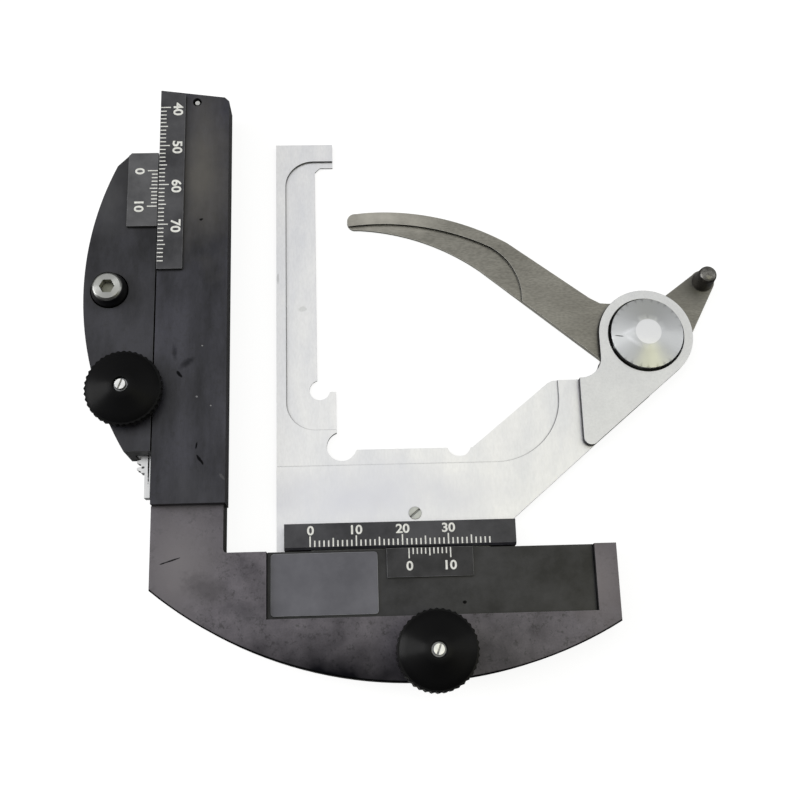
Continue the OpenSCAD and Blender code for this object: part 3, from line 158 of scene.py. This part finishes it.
def mark(material, at, size, turn, colour, cover, speck=0.6, soft=0.3, dent_or_shade=False):
    """Blends a stain, scratch, dent, worn spot or patch of painted light or shade into a finish;
    size and speck are in mm.
    """
    shader = material.node_tree.nodes["Principled BSDF"]
    coords = material.node_tree.nodes["Texture Coordinate"].outputs["Object"]
    spot = add(material, "ShaderNodeMapping", {
        "Vector": coords, "Location": at, "Rotation": (0, 0, math.radians(turn)),
        "Scale": (size[0] / 1000, size[1] / 1000, 1)}, vector_type="TEXTURE").outputs[0]
    reach = add(material, "ShaderNodeVectorMath", {0: spot}, operation="LENGTH").outputs["Value"]
    noise = add(material, "ShaderNodeTexNoise", {
        "Vector": coords, "Scale": 1000 / speck, "Detail": 3.0}).outputs[0]
    ragged = add(material, "ShaderNodeMath", {0: reach, 1: noise}, operation="ADD").outputs[0]
    inside = add(material, "ShaderNodeMapRange", {
        "Value": ragged, "From Min": 1.5, "From Max": 1.5 - soft,
        "To Min": 0.0, "To Max": cover}).outputs[0]
    under = shader.inputs["Base Color"].links[0].from_socket
    mixed = add(material, "ShaderNodeMix", {
        0: inside, 6: under, 7: linear(colour)}, data_type="RGBA").outputs[2]
    material.node_tree.links.new(mixed, shader.inputs["Base Color"])
    # A dent, or a patch of painted shade, loses its sheen.
    if dent_or_shade:
        shine = shader.inputs["Specular IOR Level"]
        dull = add(material, "ShaderNodeMix", {0: inside, 2: shine.links[0].from_socket, 3: 0.0})
        material.node_tree.links.new(dull.outputs[0], shine)


def soften(name, width, face, edge, spots=(), segments=2, angle=32, flat=True,
           shade=None):
    """A CAD piece with its edges rounded by a width in mm, and its faces and spots dressed.

    The rounded faces whose normal passes the shade test take the first spot's material.
    """
    piece = bpy.data.objects.new(name + "_finished", nodes[name].data.copy())
    scene.collection.objects.link(piece)
    bpy.ops.object.select_all(action="DESELECT")
    piece.select_set(True)
    bpy.context.view_layer.objects.active = piece
    bpy.ops.mesh.customdata_custom_splitnormals_clear()
    bpy.ops.object.mode_set(mode="EDIT")
    bpy.ops.mesh.select_all(action="SELECT")
    bpy.ops.mesh.remove_doubles(threshold=2e-7)
    if flat:
        bpy.ops.mesh.dissolve_limited(angle_limit=math.radians(0.4))
    bpy.ops.object.mode_set(mode="OBJECT")
    piece.data.materials.clear()
    for material in (face, *[spot[0] for spot in spots], edge):
        piece.data.materials.append(material)
    for polygon in piece.data.polygons:
        polygon.material_index = 0
        for number, (material, test) in enumerate(spots, 1):
            if test(polygon.center, polygon.normal):
                polygon.material_index = number
    rounding = piece.modifiers.new("Rounded edges", "BEVEL")
    rounding.width = width / 1000
    rounding.segments = segments
    rounding.limit_method = "ANGLE"
    rounding.angle_limit = math.radians(angle)
    rounding.material = len(spots) + 1
    bpy.ops.object.modifier_apply(modifier=rounding.name)
    if shade:
        for polygon in piece.data.polygons:
            if polygon.material_index == len(spots) + 1 and shade(polygon.normal):
                polygon.material_index = 1
    bpy.ops.object.shade_smooth_by_angle(angle=math.radians(angle))
    steady = piece.modifiers.new("Flat faces stay flat", "WEIGHTED_NORMAL")
    steady.keep_sharp = True
    bpy.ops.object.modifier_apply(modifier=steady.name)
    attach(piece, nodes[name]["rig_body"])
    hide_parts(name)
    return piece


# Enamel over aluminium: nearly black, with a soft sheen and a grain like orange peel.
housing_enamel = coating("Black enamel on aluminium", "0f0f16", "22222d", 0.42, patch=8,
                          stretch=(1, 0.4, 1), flecks=0.2, reach=0.8, blots=0.5)
mark(housing_enamel, place(-45, 84), (9, 17), -12, "363639", 0.8, speck=6, soft=0.9)
# The same enamel rubbed thin along the edges, and painted lighter there as a highlight that shows
# as a fine line.
black_edge_and_highlight = coating("Black enamel rubbed at an edge, with a painted highlight", "202022", "3c3c3f", 0.45, patch=4)
soften("base_housing", 0.25, housing_enamel, black_edge_and_highlight)

# Vernier plate of the arm.
# A thin aluminium plate, anodised black and faded to grey, whose lines and figures are
# engraved and filled with white paint. Pins under it hold it on the housing.

# Faded anodising: an even mid grey, with bright metal showing along the cut edges, painted lighter
# there as a highlight too.
arm_vernier_black = coating("Faded black anodising", "4b4b4e", "5b5b5e", 0.45, patch=7)
plate_edge_and_highlight = coating("Anodising rubbed at an edge, with a painted highlight", "5c5c5e", "7c7c7f", 0.4, patch=3)
soften("arm_vernier_plate", 0.07, arm_vernier_black, plate_edge_and_highlight)
# White paint in the engraving: matt, a little uneven where it has worn.
mark_white = coating("White paint in engraving", "dededa", "f6f6f2", 0.6, patch=1.2, shade_and_dirt_depth=0.0)


def lines(name, boxes, z):
    """Flat bars 0.03 mm high, each given by its corners in mm."""
    bpy.ops.object.select_all(action="DESELECT")
    bpy.ops.mesh.primitive_cube_add(size=0.001)
    piece = bpy.context.active_object
    piece.name = name
    bpy.ops.object.mode_set(mode="EDIT")
    bpy.ops.mesh.select_all(action="SELECT")
    bpy.ops.mesh.delete(type="VERT")
    for x0, y0, x1, y1 in boxes:
        bpy.ops.mesh.select_all(action="DESELECT")
        bpy.ops.mesh.primitive_cube_add(
            size=1, location=place((x0 + x1) / 2, (y0 + y1) / 2, z),
            scale=(abs(x1 - x0) / 1000, abs(y1 - y0) / 1000, 0.00003))
    bpy.ops.object.mode_set(mode="OBJECT")
    return piece


# How much the strokes of a figure are thickened, and the figure widened.
stroke_weight = 0.026
figure_widening = 1.1


def number(text, height, x, y, z, turn=0.0):
    """A flat figure of a height in mm, centred on a point and turned about Z."""
    bpy.ops.object.select_all(action="DESELECT")
    bpy.ops.object.text_add()
    figure = bpy.context.active_object
    figure.data.body = text
    figure.data.offset = stroke_weight
    figure.data.extrude = 0.006
    bpy.ops.object.convert(target="MESH")
    figure = bpy.context.active_object
    xs = [v.co.x for v in figure.data.vertices]
    ys = [v.co.y for v in figure.data.vertices]
    centre = Vector(((min(xs) + max(xs)) / 2, (min(ys) + max(ys)) / 2, 0))
    figure.data.transform(
        Matrix.Translation(place(x, y, z)) @ Matrix.Rotation(turn, 4, "Z")
        @ Matrix.Scale(height / 1000 / (max(ys) - min(ys)), 4)
        @ Matrix.Scale(figure_widening, 4, (1, 0, 0)) @ Matrix.Translation(-centre))
    return figure


def engrave(name, body, boxes, numbers, z):
    """Lines and figures joined into one piece that rides a body."""
    piece = lines(name, boxes, z)
    figures = [number(*figure) for figure in numbers]
    bpy.ops.object.select_all(action="DESELECT")
    for figure in figures:
        figure.select_set(True)
    piece.select_set(True)
    bpy.context.view_layer.objects.active = piece
    bpy.ops.object.join()
    piece.data.materials.clear()
    piece.data.materials.append(mark_white)
    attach(piece, body)


def length(i, ten, five, one):
    """The length of line number i on a scale with longer lines at fives and tens."""
    return ten if i % 10 == 0 else five if i % 5 == 0 else one


# Half the width of a line, the quarter turn of the figures, and the step of a vernier.
half = 0.13
quarter = -math.pi / 2
vernier_step = 0.9
plate_right = -34.35
vernier_zero = 87.71
figure_row = -38.46
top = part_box("arm_vernier_plate")[1].z * 1000 + 0.01
engrave("arm_vernier_marks", "base", [
    (plate_right, vernier_zero - vernier_step * i - half,
     plate_right - length(i, 2.3, 1.75, 1.35), vernier_zero - vernier_step * i + half)
    for i in range(11)],
    [("0", 2.2, figure_row, 87.6, top, quarter), ("10", 2.2, figure_row, 78.6, top, quarter)],
    top)

# Clamp screw with its collar and ring.
# A socket-head screw of turned steel, nickel-plated and sunk in a black collar that sits in
# a bore of the housing. It drives down to grip the plain stage; a ring below keeps it in.


def turned(name, colour, centre, roughness, metallic=1.0, specular=0.5, pitch=0.2, faced=0.0,
           middle_colour="d0d1d2"):
    """Metal turned on a lathe about a centre, with tool lines a pitch in mm apart.

    Within a faced radius in mm the surface is plain and takes the middle's colour.
    """
    material = bpy.data.materials.new(name)
    material.use_nodes = True
    material.node_tree.nodes.clear()
    coords = add(material, "ShaderNodeTexCoord").outputs["Object"]
    offset = add(material, "ShaderNodeMapping", {
        "Vector": coords, "Location": -centre}).outputs[0]
    level = add(material, "ShaderNodeVectorMath", {
        0: offset, 1: (1, 1, 0)}, operation="MULTIPLY").outputs[0]
    outward = add(material, "ShaderNodeVectorMath", {0: level}, operation="NORMALIZE").outputs[0]
    across = add(material, "ShaderNodeVectorTransform", {
        "Vector": outward}, vector_type="VECTOR", convert_from="OBJECT", convert_to="WORLD")
    radius = add(material, "ShaderNodeVectorMath", {0: level}, operation="LENGTH")
    tool = add(material, "ShaderNodeTexNoise", {
        "W": radius.outputs["Value"], "Scale": 1000 / pitch, "Detail": 2.0},
        noise_dimensions="1D").outputs[0]
    bump = add(material, "ShaderNodeBump", {
        "Height": tool, "Strength": 0.1, "Distance": 0.00001}).outputs[0]
    worn = add(material, "ShaderNodeTexNoise", {
        "Vector": coords, "Scale": 260.0, "Detail": 4.0}).outputs[0]
    rough = add(material, "ShaderNodeMapRange", {
        "Value": worn, "To Min": roughness - 0.05, "To Max": roughness + 0.05}).outputs[0]
    plain = add(material, "ShaderNodeMath", {
        0: radius.outputs["Value"], 1: faced / 1000}, operation="LESS_THAN").outputs[0]
    tone = add(material, "ShaderNodeMix", {
        0: plain, 6: linear(colour), 7: linear(middle_colour)}, data_type="RGBA").outputs[2]
    drag = add(material, "ShaderNodeMix", {0: plain, 2: 0.8, 3: 0.0}).outputs[0]
    shader = add(material, "ShaderNodeBsdfPrincipled", {
        "Base Color": tone, "Metallic": metallic, "Roughness": rough,
        "Specular IOR Level": specular, "Anisotropic": drag, "Tangent": across.outputs[0],
        "Normal": bump})
    add(material, "ShaderNodeOutputMaterial", {"Surface": shader.outputs[0]})
    return material


def near_axis(name, radius):
    """A test for the faces of a round piece that lie within a radius in mm of its axis."""
    low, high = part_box(name)
    centre = (low + high) / 2
    return lambda at, normal: math.hypot(at.x - centre.x, at.y - centre.y) < radius / 1000


def middle(name):
    """The middle of a piece, at the height of the stage's face."""
    low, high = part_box(name)
    return Vector(((low.x + high.x) / 2, (low.y + high.y) / 2, 0))


# Nickel on turned steel: a pale satin ring with fine circles in it.
clamp_nickel = turned("Turned and nickelled steel", "abaca9", middle("clamp_screw"), 0.36)
# Steel in the socket, olive grey and painted darker as shade, so the hexagon reads as a dark pit.
socket_steel_shaded = coating("Olive steel in a socket, in painted shade", "8a8b80", "a2a396", 0.5, metallic=0.5, patch=2)
soften("clamp_screw", 0.1, clamp_nickel, clamp_nickel,
       spots=[(socket_steel_shaded, near_axis("clamp_screw", 1.74))], segments=3, flat=False)
# Black oxide on the collar: darker and duller than the enamel round it.
collar_black = coating("Black oxide on steel", "0a0a0b", "131314", 0.35, patch=5)
soften("clamp_collar", 0.12, collar_black, collar_black, flat=False)


def dress(material, *names):
    """Gives a material to CAD pieces that keep their own mesh."""
    for name in names:
        nodes[name].data.materials.clear()
        nodes[name].data.materials.append(material)


# Bare machined steel: even grey, with short brush marks.
machined = coating("Machined steel", "8f9092", "adaeb0", 0.38, metallic=1.0, patch=6,
                   stretch=(1, 0.2, 1), grime_and_shade="2a2a2b")
# Screw steel: a touch warmer and brighter, scuffed by the screwdriver.
screw_steel = coating("Bright screw steel", "b4b5b2", "d6d6d3", 0.34, metallic=1.0, patch=1.5,
                      grime_and_shade="2a2a28")
dress(machined, "clamp_retaining_ring")

# Arm bar with its stop pin and screws.
# A straight aluminium bar in the same black enamel as the housing. Its far half is lighter
# and brownish, and small dents and chips show along it.

# Enamel on the bar: as on the housing, drawn out along the bar by wiping.
bar_enamel = coating("Black enamel on the bar", "13131b", "2a2a37", 0.42, patch=7,
                      stretch=(1, 0.3, 1), flecks=0.2, reach=0.8, blots=0.5)
mark(bar_enamel, place(-24.5, 88), (9, 26), 0, "53504b", 0.85, speck=9, soft=0.9)
mark(bar_enamel, place(-28.5, 38.4), (1.1, 0.4), -50, "050506", 0.9, dent_or_shade=True)
mark(bar_enamel, place(-23.6, 18.8), (1.4, 0.35), -55, "050506", 0.9, dent_or_shade=True)
mark(bar_enamel, place(-24.4, 22), (0.9, 0.2), 80, "050506", 0.9, dent_or_shade=True)
mark(bar_enamel, place(-18.8, 15.0), (1.0, 0.35), -50, "4a494c", 0.7, speck=0.5)
mark(bar_enamel, place(-26, 12), (8, 6), 0, "2c2c33", 0.7, speck=3, soft=0.9)
mark(bar_enamel, place(-24.2, 75.6), (0.55, 0.35), 20, "050506", 0.9, dent_or_shade=True)
mark(bar_enamel, place(-26.8, 41), (2.4, 1.0), 35, "070708", 0.55, speck=0.7, soft=0.7, dent_or_shade=True)
mark(bar_enamel, place(-29.6, 43.5), (0.7, 2.2), 5, "070708", 0.5, speck=0.7, soft=0.7, dent_or_shade=True)
# Three specks of dust caught in the enamel.
for x, y in ((-24.5, 33.1), (-23.5, 44.9), (-21.4, 31.0)):
    mark(bar_enamel, place(x, y), (0.24, 0.2), 0, "8a8a8c", 0.8)
soften("arm_bar", 0.25, bar_enamel, black_edge_and_highlight)
dress(screw_steel, "arm_stop_pin", "arm_screws")

# Scale plate of the arm.
# Black-anodised aluminium like the vernier, engraved each millimetre and glued on the bar.

# Black anodising: dark grey with a blue cast, a little faded.
arm_scale_black = coating("Black anodising", "2b2b2f", "434347", 0.42, patch=9)
soften("arm_scale_plate", 0.08, arm_scale_black, plate_edge_and_highlight)
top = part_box("arm_scale_plate")[1].z * 1000 + 0.01
plate_left = -34.02
scale_zero = 144.13
figure_row = -29.95
engrave("arm_scale_marks", "cross_frame", [
    (plate_left, scale_zero - i - half,
     plate_left + length(i, 2.3, 1.75, 1.35), scale_zero - i + half)
    for i in range(40, 80)],
    [(str(i), 2.3, figure_row, scale_zero - 0.43 - i, top, quarter)
     for i in (40, 50, 60, 70)], top)

# Rail and rack of the arm.
# Steel strips on the bar's left side: the headed rail runs in the housing's groove, and the
# rack meshes with the pinion. They are ground bright and show at the bar's near end.

# Ground steel: nearly white, with dark gaps and nicks where the rack's end shows.
ground = coating("Ground steel", "c4c5c6", "dedede", 0.3, metallic=1.0, patch=3,
                 stretch=(1, 0.15, 1), grime_and_shade="38383a")
mark(ground, place(-35.4, 18.5), (0.2, 4.5), 0, "0a0a0a", 1.0, speck=0.5)
mark(ground, place(-36.0, 21.6), (1.6, 0.7), 0, "0a0a0a", 0.9, speck=0.6)
mark(ground, place(-36.6, 18.3), (0.4, 0.3), 20, "141414", 0.9, speck=0.4)
dress(ground, "guide_rail", "arm_rack")
dress(screw_steel, "rail_screws")

# Arm pinion and knob.
# The shaft turns in a flanged bush through the housing and in a round plate below it. The
# knob is turned aluminium, serrated round its rim, anodised black and held by one screw.

dress(machined, "arm_pinion_shaft", "pinion_plate")
dress(screw_steel, "pinion_plate_screws")
dress(housing_enamel, "arm_knob_bush", "cross_knob_bush")
# Black anodising over tool lines: dark, with faint fans of light that open from the centre.
arm_knob_black = turned("Turned and anodised, arm knob", "101011", middle("arm_knob"), 0.38, 0.0,
                        specular=0.07)
soften("arm_knob", 0.07, arm_knob_black, arm_knob_black, angle=25, flat=False)
# Plated screw head: nearly white against the black knob.
head_plate = coating("Nickel plate on a screw", "d2d3d2", "f0f0ee", 0.36, metallic=1.0, patch=1,
                     grime_and_shade="2c2c2a")
soften("arm_knob_screw", 0.06, head_plate, head_plate)

# Cross frame with its bottom plate.
# An aluminium casting, machined flat on top and painted a warm dark grey, with smudges and
# one clear scratch. Painted light makes it pale at the ends; painted shade darkens it round the
# cross knob.

# Paint on the casting: warm grey, with cloudy wear and a coarse grain.
casting_paint = coating("Grey paint on a casting", "4c484f", "666169", 0.42, patch=7,
                        grain=0.35, relief=0.2, flecks=0.12, reach=0.8, blots=0.55)
# Painted shade: a dark band without sheen along the near edge round the cross knob.
mark(casting_paint, place(6, -29), (40, 13), 1, "131317", 1.0, speck=9, soft=0.9, dent_or_shade=True)
# Painted light: the two ends of the casting made paler.
mark(casting_paint, place(62, -9), (9, 14), 0, "767074", 0.8, speck=7, soft=0.9)
mark(casting_paint, place(-28, -3), (12, 16), 0, "6f6b6f", 1.0, speck=7, soft=0.9)
mark(casting_paint, place(-18, -22), (12, 3), -32, "2c292e", 0.7, speck=3, soft=0.9)
mark(casting_paint, place(-22, -9), (7, 3.5), -25, "3c383d", 0.55, speck=1.0, soft=0.7)
mark(casting_paint, place(-14, -14), (7, 2.4), -20, "35323a", 0.55, speck=0.9, soft=0.7)
mark(casting_paint, place(-29.9, -2.7), (2.4, 0.2), 17, "0a090b", 0.9, speck=0.8, soft=0.25,
     dent_or_shade=True)
# Painted shade along the curved edge: a black outline where the near side wall is in shadow.
# A negative softness puts it outside the circle, and a huge speck keeps its line clean.
arc_radius = 89.36
unshaded_radius = arc_radius - 0.41
arc_centre = Vector((place(22.64, 0).x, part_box("frame_casting")[0].y + arc_radius / 1000, 0))
mark(casting_paint, arc_centre, (unshaded_radius, unshaded_radius), 0, "060607", 1.0,
     speck=1e9, soft=-0.002, dent_or_shade=True)
# Paint worn at the rim, and painted lighter as a highlight: a thin pale line beside the cover.
casting_edge_and_highlight = coating("Grey paint worn at an edge, with a painted highlight", "68666a", "88878a", 0.4, metallic=0.3, patch=4)
# The same paint on the side walls, painted nearly black as shade, which outlines the casting.
casting_wall_shade = coating("Grey paint on the side walls in painted shade", "0c0c0d", "1a191b", 0.5, patch=5)


def wall(at, normal):
    """A test for faces that stand upright."""
    return abs(normal.z) < 0.5


# Upright faces, and rounded edges facing the near side or the left, take the walls' painted shade.
soften("frame_casting", 0.16, casting_paint, casting_edge_and_highlight,
       spots=[(casting_wall_shade, wall)],
       shade=lambda normal: normal.y < -0.2 or normal.x < -0.2)
dress(machined, "frame_bottom_plate")
dress(screw_steel, "bottom_plate_screws")

# Cover, blank plate and cross vernier.
# A black sheet closes the slider's guide. On it lie a grey plate, left bare here, and the
# engraved vernier of the cross scale.

# Enamel on the sheet: smooth and even, with one small pit.
cover_enamel = coating("Black enamel on sheet", "0b0b0f", "1a1a20", 0.4, patch=8, flecks=0.2,
                        reach=0.8, blots=0.3)
mark(cover_enamel, place(33, -13), (0.5, 0.4), 0, "050505", 0.9, dent_or_shade=True)
soften("guide_cover", 0.05, cover_enamel, black_edge_and_highlight)
dress(cover_enamel, "cover_screws")
# Satin-anodised plate: an even blue-grey with a light rim.
blank_grey = coating("Satin grey anodising", "56565d", "62626a", 0.38, metallic=0.1,
                      patch=12)
blank_edge = coating("Rim of satin anodising", "7a7b80", "8e8f94", 0.35, metallic=0.2, patch=3)
soften("blank_plate", 0.1, blank_grey, blank_edge)
# Fresher anodising on the cross vernier: almost black.
cross_vernier_black = coating("Black anodising, cross vernier", "151519", "222228", 0.42, patch=6)
soften("cross_vernier_plate", 0.07, cross_vernier_black, plate_edge_and_highlight)
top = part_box("cross_vernier_plate")[1].z * 1000 + 0.01
vernier_zero = 21.33
plate_far = -1.15
figure_row = -4.97
engrave("cross_vernier_marks", "cross_frame", [
    (vernier_zero + vernier_step * i - half, plate_far,
     vernier_zero + vernier_step * i + half, plate_far - length(i, 2.2, 1.7, 1.3))
    for i in range(11)],
    [("0", 2.05, 21.4, figure_row, top), ("10", 2.05, 30.35, figure_row, top)], top)

# Cross pinion and knob.
# The same kind of shaft and knob as the arm's, taller, standing through the casting.

dress(machined, "cross_pinion_shaft")
cross_knob_black = turned("Turned and anodised, cross knob", "0b0b0c", middle("cross_knob"),
                          0.36, 0.0, specular=0.12)
soften("cross_knob", 0.07, cross_knob_black, cross_knob_black, angle=25, flat=False)
soften("cross_knob_screw", 0.06, head_plate, head_plate)

# Cross slider, rack and scale block.
# The steel slider runs in the casting and carries the rack under it. The scale block is
# black-anodised aluminium, screwed to the slider's neck, with white lines along its near edge.

dress(machined, "cross_slider", "cross_rack")
dress(screw_steel, "cross_rack_screws", "block_screws")
# Anodising on the block: black worn to grey in wide patches.
block_black = coating("Black anodising, scale block", "28282d", "3b3b41", 0.42, patch=11)
soften("cross_scale_block", 0.1, block_black, plate_edge_and_highlight)
top = block_high.z * 1000 + 0.01
half = 0.15
block_near = -0.38
figure_row = 3.17
engrave("cross_scale_marks", "holder", [
    (i - half, block_near, i + half, block_near + length(i, 2.3, 1.85, 1.35))
    for i in range(40)],
    [(str(i), 2.05, i + 0.1, figure_row, top) for i in (0, 10, 20, 30)], top)

# Specimen holder.
# A brass plate, milled to three levels and plated with satin nickel. The specimen lies on the
# low ledge against the two long edges.

# Satin nickel: pale and almost even, with a faint grain along the plate, and walls painted darker
# as shade.
nickel = coating("Satin nickel plate", "e4e5e9", "fafafb", 0.5, metallic=1.0, patch=7, grain=0.4,
                 relief=0.2, stretch=(1, 0.35, 1), grime_and_shade="4a4a4c", shade_and_dirt_depth=0.8, flecks=0.04)
# Nickel on the milled walls painted darker as shade, and along the rounded edges a little darker as
# shade, so they show as grey lines.
nickel_wall_shade = coating("Nickel on a milled wall in painted shade", "6c6d70", "85868a", 0.5, metallic=1.0, patch=3,
                      grime_and_shade="303032")
nickel_edge_shade = coating("Nickel on a rounded edge in painted shade", "cfd0d3", "e2e3e5", 0.45, metallic=1.0, patch=3,
                      grime_and_shade="4a4a4c")
mark(nickel, place(-1.6, 56.5), (1.2, 0.8), 0, "cfd1d0", 0.5, speck=0.8)
mark(nickel, place(-7.2, 64), (0.3, 1.4), 0, "bcbdbf", 0.6, speck=0.8)
mark(nickel, place(14, 11), (34, 10), 0, "dcdde5", 0.9, speck=8, soft=0.9)
soften("holder_plate", 0.07, nickel, nickel_edge_shade, spots=[(nickel_wall_shade, wall)])
dress(screw_steel, "holder_screws")
# Grey steel with painted shade and dirt in its slot: a small dull disc in the pale plate.
slot_steel = coating("Grey screw steel", "a8aaa7", "bfc1be", 0.4, metallic=1.0, patch=1.5,
                     grime_and_shade="161615", shade_and_dirt_depth=0.95)
soften("level_screw", 0.07, slot_steel, slot_steel)

# Clip lug with the clip's pivot.
# A thicker nickelled piece is screwed on the holder. A spiral spring lies in its ring, under
# a turned cap riveted to the pivot.

# Painted shadow on the steel at the bottom of the ring, seen as a dark line round the cap.
ring_dark = coating("Steel inside the ring in painted shadow", "0f0f0f", "1b1b1a", 0.6, metallic=0.5, patch=2)
# Painted shade on the lug's walls, and nickel a shade darker than the plate's on top.
lug_wall_shade = coating("Painted shade on the lug's wall", "1e1e20", "303032", 0.5, metallic=0.6, patch=2)
lug_nickel = coating("Satin nickel on the lug", "d8d9dc", "e8e9eb", 0.5, metallic=1.0, patch=7,
                     grain=0.4, relief=0.2, grime_and_shade="3a3a3c", flecks=0.05)
in_ring = near_axis("clip_cap", 9.1)
ring_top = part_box("clip_lug")[1].z - 0.0003
soften("clip_lug", 0.12, lug_nickel, nickel_edge_shade, spots=[
    (lug_wall_shade, wall), (ring_dark, lambda at, normal: in_ring(at, normal) and at.z < ring_top)])
dress(screw_steel, "lug_screws", "spring_pin")
dress(machined, "clip_pivot")
# Turned aluminium: sectors of light and shade that fan out round a plain pale middle, with
# one dark scratch and two bright scuffs beside it.
cap_metal = turned("Turned aluminium cap", "c5c7c8", middle("clip_cap"), 0.34, faced=3.0,
                   middle_colour="dcdde0")
cap_centre = middle("clip_cap")
mark(cap_metal, cap_centre + Vector((-0.0067, -0.0007, 0)), (1.2, 0.14), -12, "1c1c1b",
     0.9, speck=0.3)
mark(cap_metal, cap_centre + Vector((-0.0042, 0.0004, 0)), (2.4, 0.7), 20, "e2e3e6",
     0.6, speck=0.35, soft=0.9)
mark(cap_metal, cap_centre + Vector((-0.0036, -0.0022, 0)), (2.6, 0.6), -38, "e2e3e6",
     0.6, speck=0.35, soft=0.9)
soften("clip_cap", 0.15, cap_metal, cap_metal, angle=40, flat=False)

# Sprung clip with its thumb pin.
# The clip is cut from spring steel and ground; its inner side is stepped down to a thin jaw.
# The thumb pin is turned, blued black and riveted through the tail.

# Ground spring steel: brownish grey with fine lines along it, painted bright on its edges as a
# highlight.
spring_steel = coating("Ground spring steel", "85837c", "9c9a93", 0.48, metallic=1.0, patch=5,
                       grain=0.3, relief=0.3, stretch=(0.3, 1, 1), grime_and_shade="161513", shade_and_dirt_depth=0.9,
                       flecks=0.22)
mark(spring_steel, place(18, 79), (16, 5), -4, "c2bfb6", 0.8, speck=4, soft=0.9)
mark(spring_steel, place(90, 60), (9, 7), 0, "6c6b66", 0.8, speck=3, soft=0.9)
clip_edge_highlight = coating("Spring steel edge with a painted highlight", "bdbcb6", "d2d1cb", 0.4, metallic=1.0, patch=2,
                    grime_and_shade="161513", shade_and_dirt_depth=0.9)
# Sides painted paler as a reflection of the white table, and the step's wall painted dark as shade,
# which reads as a dark line.
clip_side_reflection = coating("Side of the clip with a painted reflection", "a3a198", "bab8af", 0.5, metallic=0.2, patch=3)
step_wall_shade = coating("Painted shade on the wall of the step", "141312", "201f1d", 0.5, metallic=0.3, patch=2)
finger_low, finger_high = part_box("clip_finger")
step_height = (finger_low.z + finger_high.z) / 2 + 0.0001
soften("clip_finger", 0.12, spring_steel, clip_edge_highlight, spots=[
    (clip_side_reflection, wall),
    (step_wall_shade, lambda at, normal: wall(at, normal) and at.z > step_height)])
dress(spring_steel, "clip_spring")
# Blued steel: near black with a brown cast.
blued = coating("Blued steel", "1a1815", "34312c", 0.3, patch=1.5, flecks=0.3)
# The top of the dome, rubbed by a finger and painted lighter as a highlight: grey steel with black
# flecks left in it.
dome_wear_and_highlight = coating("Blued steel worn and painted lighter on the dome", "6c6a66", "9d9c97", 0.35, metallic=0.6,
                    patch=1.2, flecks=0.5)
dome_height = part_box("thumb_pin")[1].z - 0.0012
soften("thumb_pin", 0.1, blued, blued, segments=3, angle=40, flat=False, spots=[
    (dome_wear_and_highlight, lambda at, normal: normal.z > 0.75 and at.z > dome_height)])

# Floor and light.
# A white table that the camera sees as plain white under a faint shadow. Light comes from
# overhead and from both sides, and hardly any from the near side.

bpy.ops.object.select_all(action="DESELECT")
bpy.ops.mesh.primitive_plane_add(size=3.0, location=(0, 0, -0.00005))
floor = bpy.context.active_object
floor.name = "floor"
paper = bpy.data.materials.new("White paper")
paper.use_nodes = True
paper.node_tree.nodes.clear()
seen = add(paper, "ShaderNodeLightPath").outputs["Is Camera Ray"]
glow = add(paper, "ShaderNodeEmission", {"Color": linear("f0f0f0"), "Strength": seen})
matt = add(paper, "ShaderNodeBsdfDiffuse", {"Color": linear("8c8c8c")})
both = add(paper, "ShaderNodeAddShader", {0: glow.outputs[0], 1: matt.outputs[0]})
add(paper, "ShaderNodeOutputMaterial", {"Surface": both.outputs[0]})
floor.data.materials.append(paper)

world = bpy.data.worlds.new("Studio")
world.use_nodes = True
world.node_tree.nodes.clear()
scene.world = world
direction = add(world, "ShaderNodeSeparateXYZ", {
    "Vector": add(world, "ShaderNodeTexCoord").outputs["Generated"]})
overhead = add(world, "ShaderNodeMapRange", {
    "Value": direction.outputs["Z"], "From Min": 0.55, "From Max": 0.88,
    "To Min": 0.42, "To Max": 1.06}).outputs[0]
far_side = add(world, "ShaderNodeMapRange", {
    "Value": direction.outputs["Y"], "From Min": 0.5, "From Max": 0.75,
    "To Min": 1.0, "To Max": 0.45}).outputs[0]
near_side = add(world, "ShaderNodeMapRange", {
    "Value": direction.outputs["Y"], "From Min": -0.45, "From Max": -0.16,
    "To Min": 0.03, "To Max": 1.0}).outputs[0]
sky = add(world, "ShaderNodeMath", {0: overhead, 1: far_side}, operation="MULTIPLY").outputs[0]
sky = add(world, "ShaderNodeMath", {0: sky, 1: near_side}, operation="MULTIPLY").outputs[0]
plain = add(world, "ShaderNodeLightPath").outputs["Is Camera Ray"]
behind = add(world, "ShaderNodeMix", {0: plain, 2: sky, 3: 1.0}).outputs[0]
add(world, "ShaderNodeOutputWorld", {"Surface": add(world, "ShaderNodeBackground", {
    "Color": behind, "Strength": 1.0}).outputs[0]})


def lamp(name, at, size, power, colour=(1, 1, 1)):
    """A square soft lamp that faces the middle of the part."""
    data = bpy.data.lights.new(name, "AREA")
    data.size = size
    data.energy = power
    data.color = colour
    light = bpy.data.objects.new(name, data)
    light.location = at
    light.rotation_euler = (-Vector(at)).to_track_quat("-Z", "Y").to_euler()
    scene.collection.objects.link(light)


lamp("Left lamp", (-0.62, 0.07, 0.30), 0.38, 2.9)
lamp("Right lamp", (0.60, 0.07, 0.27), 0.30, 0.3)
lamp("Warm card", (0.23, -0.08, 0.60), 0.26, 0.22, (1.0, 0.96, 0.40))

# Camera.
# It looks down from the near side, as the photograph was taken: tipped back, and turned and
# rolled by a degree or two.

camera = bpy.data.objects.new("Camera", bpy.data.cameras.new("Camera"))
camera.data.lens = 50.82
camera.data.sensor_width = 36
camera.data.clip_start = 0.01
camera.location = place(10.695, -35.926, 250.719)
tip, roll, swing = 15.648, -1.790, -1.764
camera.rotation_euler = [math.radians(angle) for angle in (tip, roll, swing)]
scene.collection.objects.link(camera)
scene.camera = camera
scene.view_settings.view_transform = "Standard"
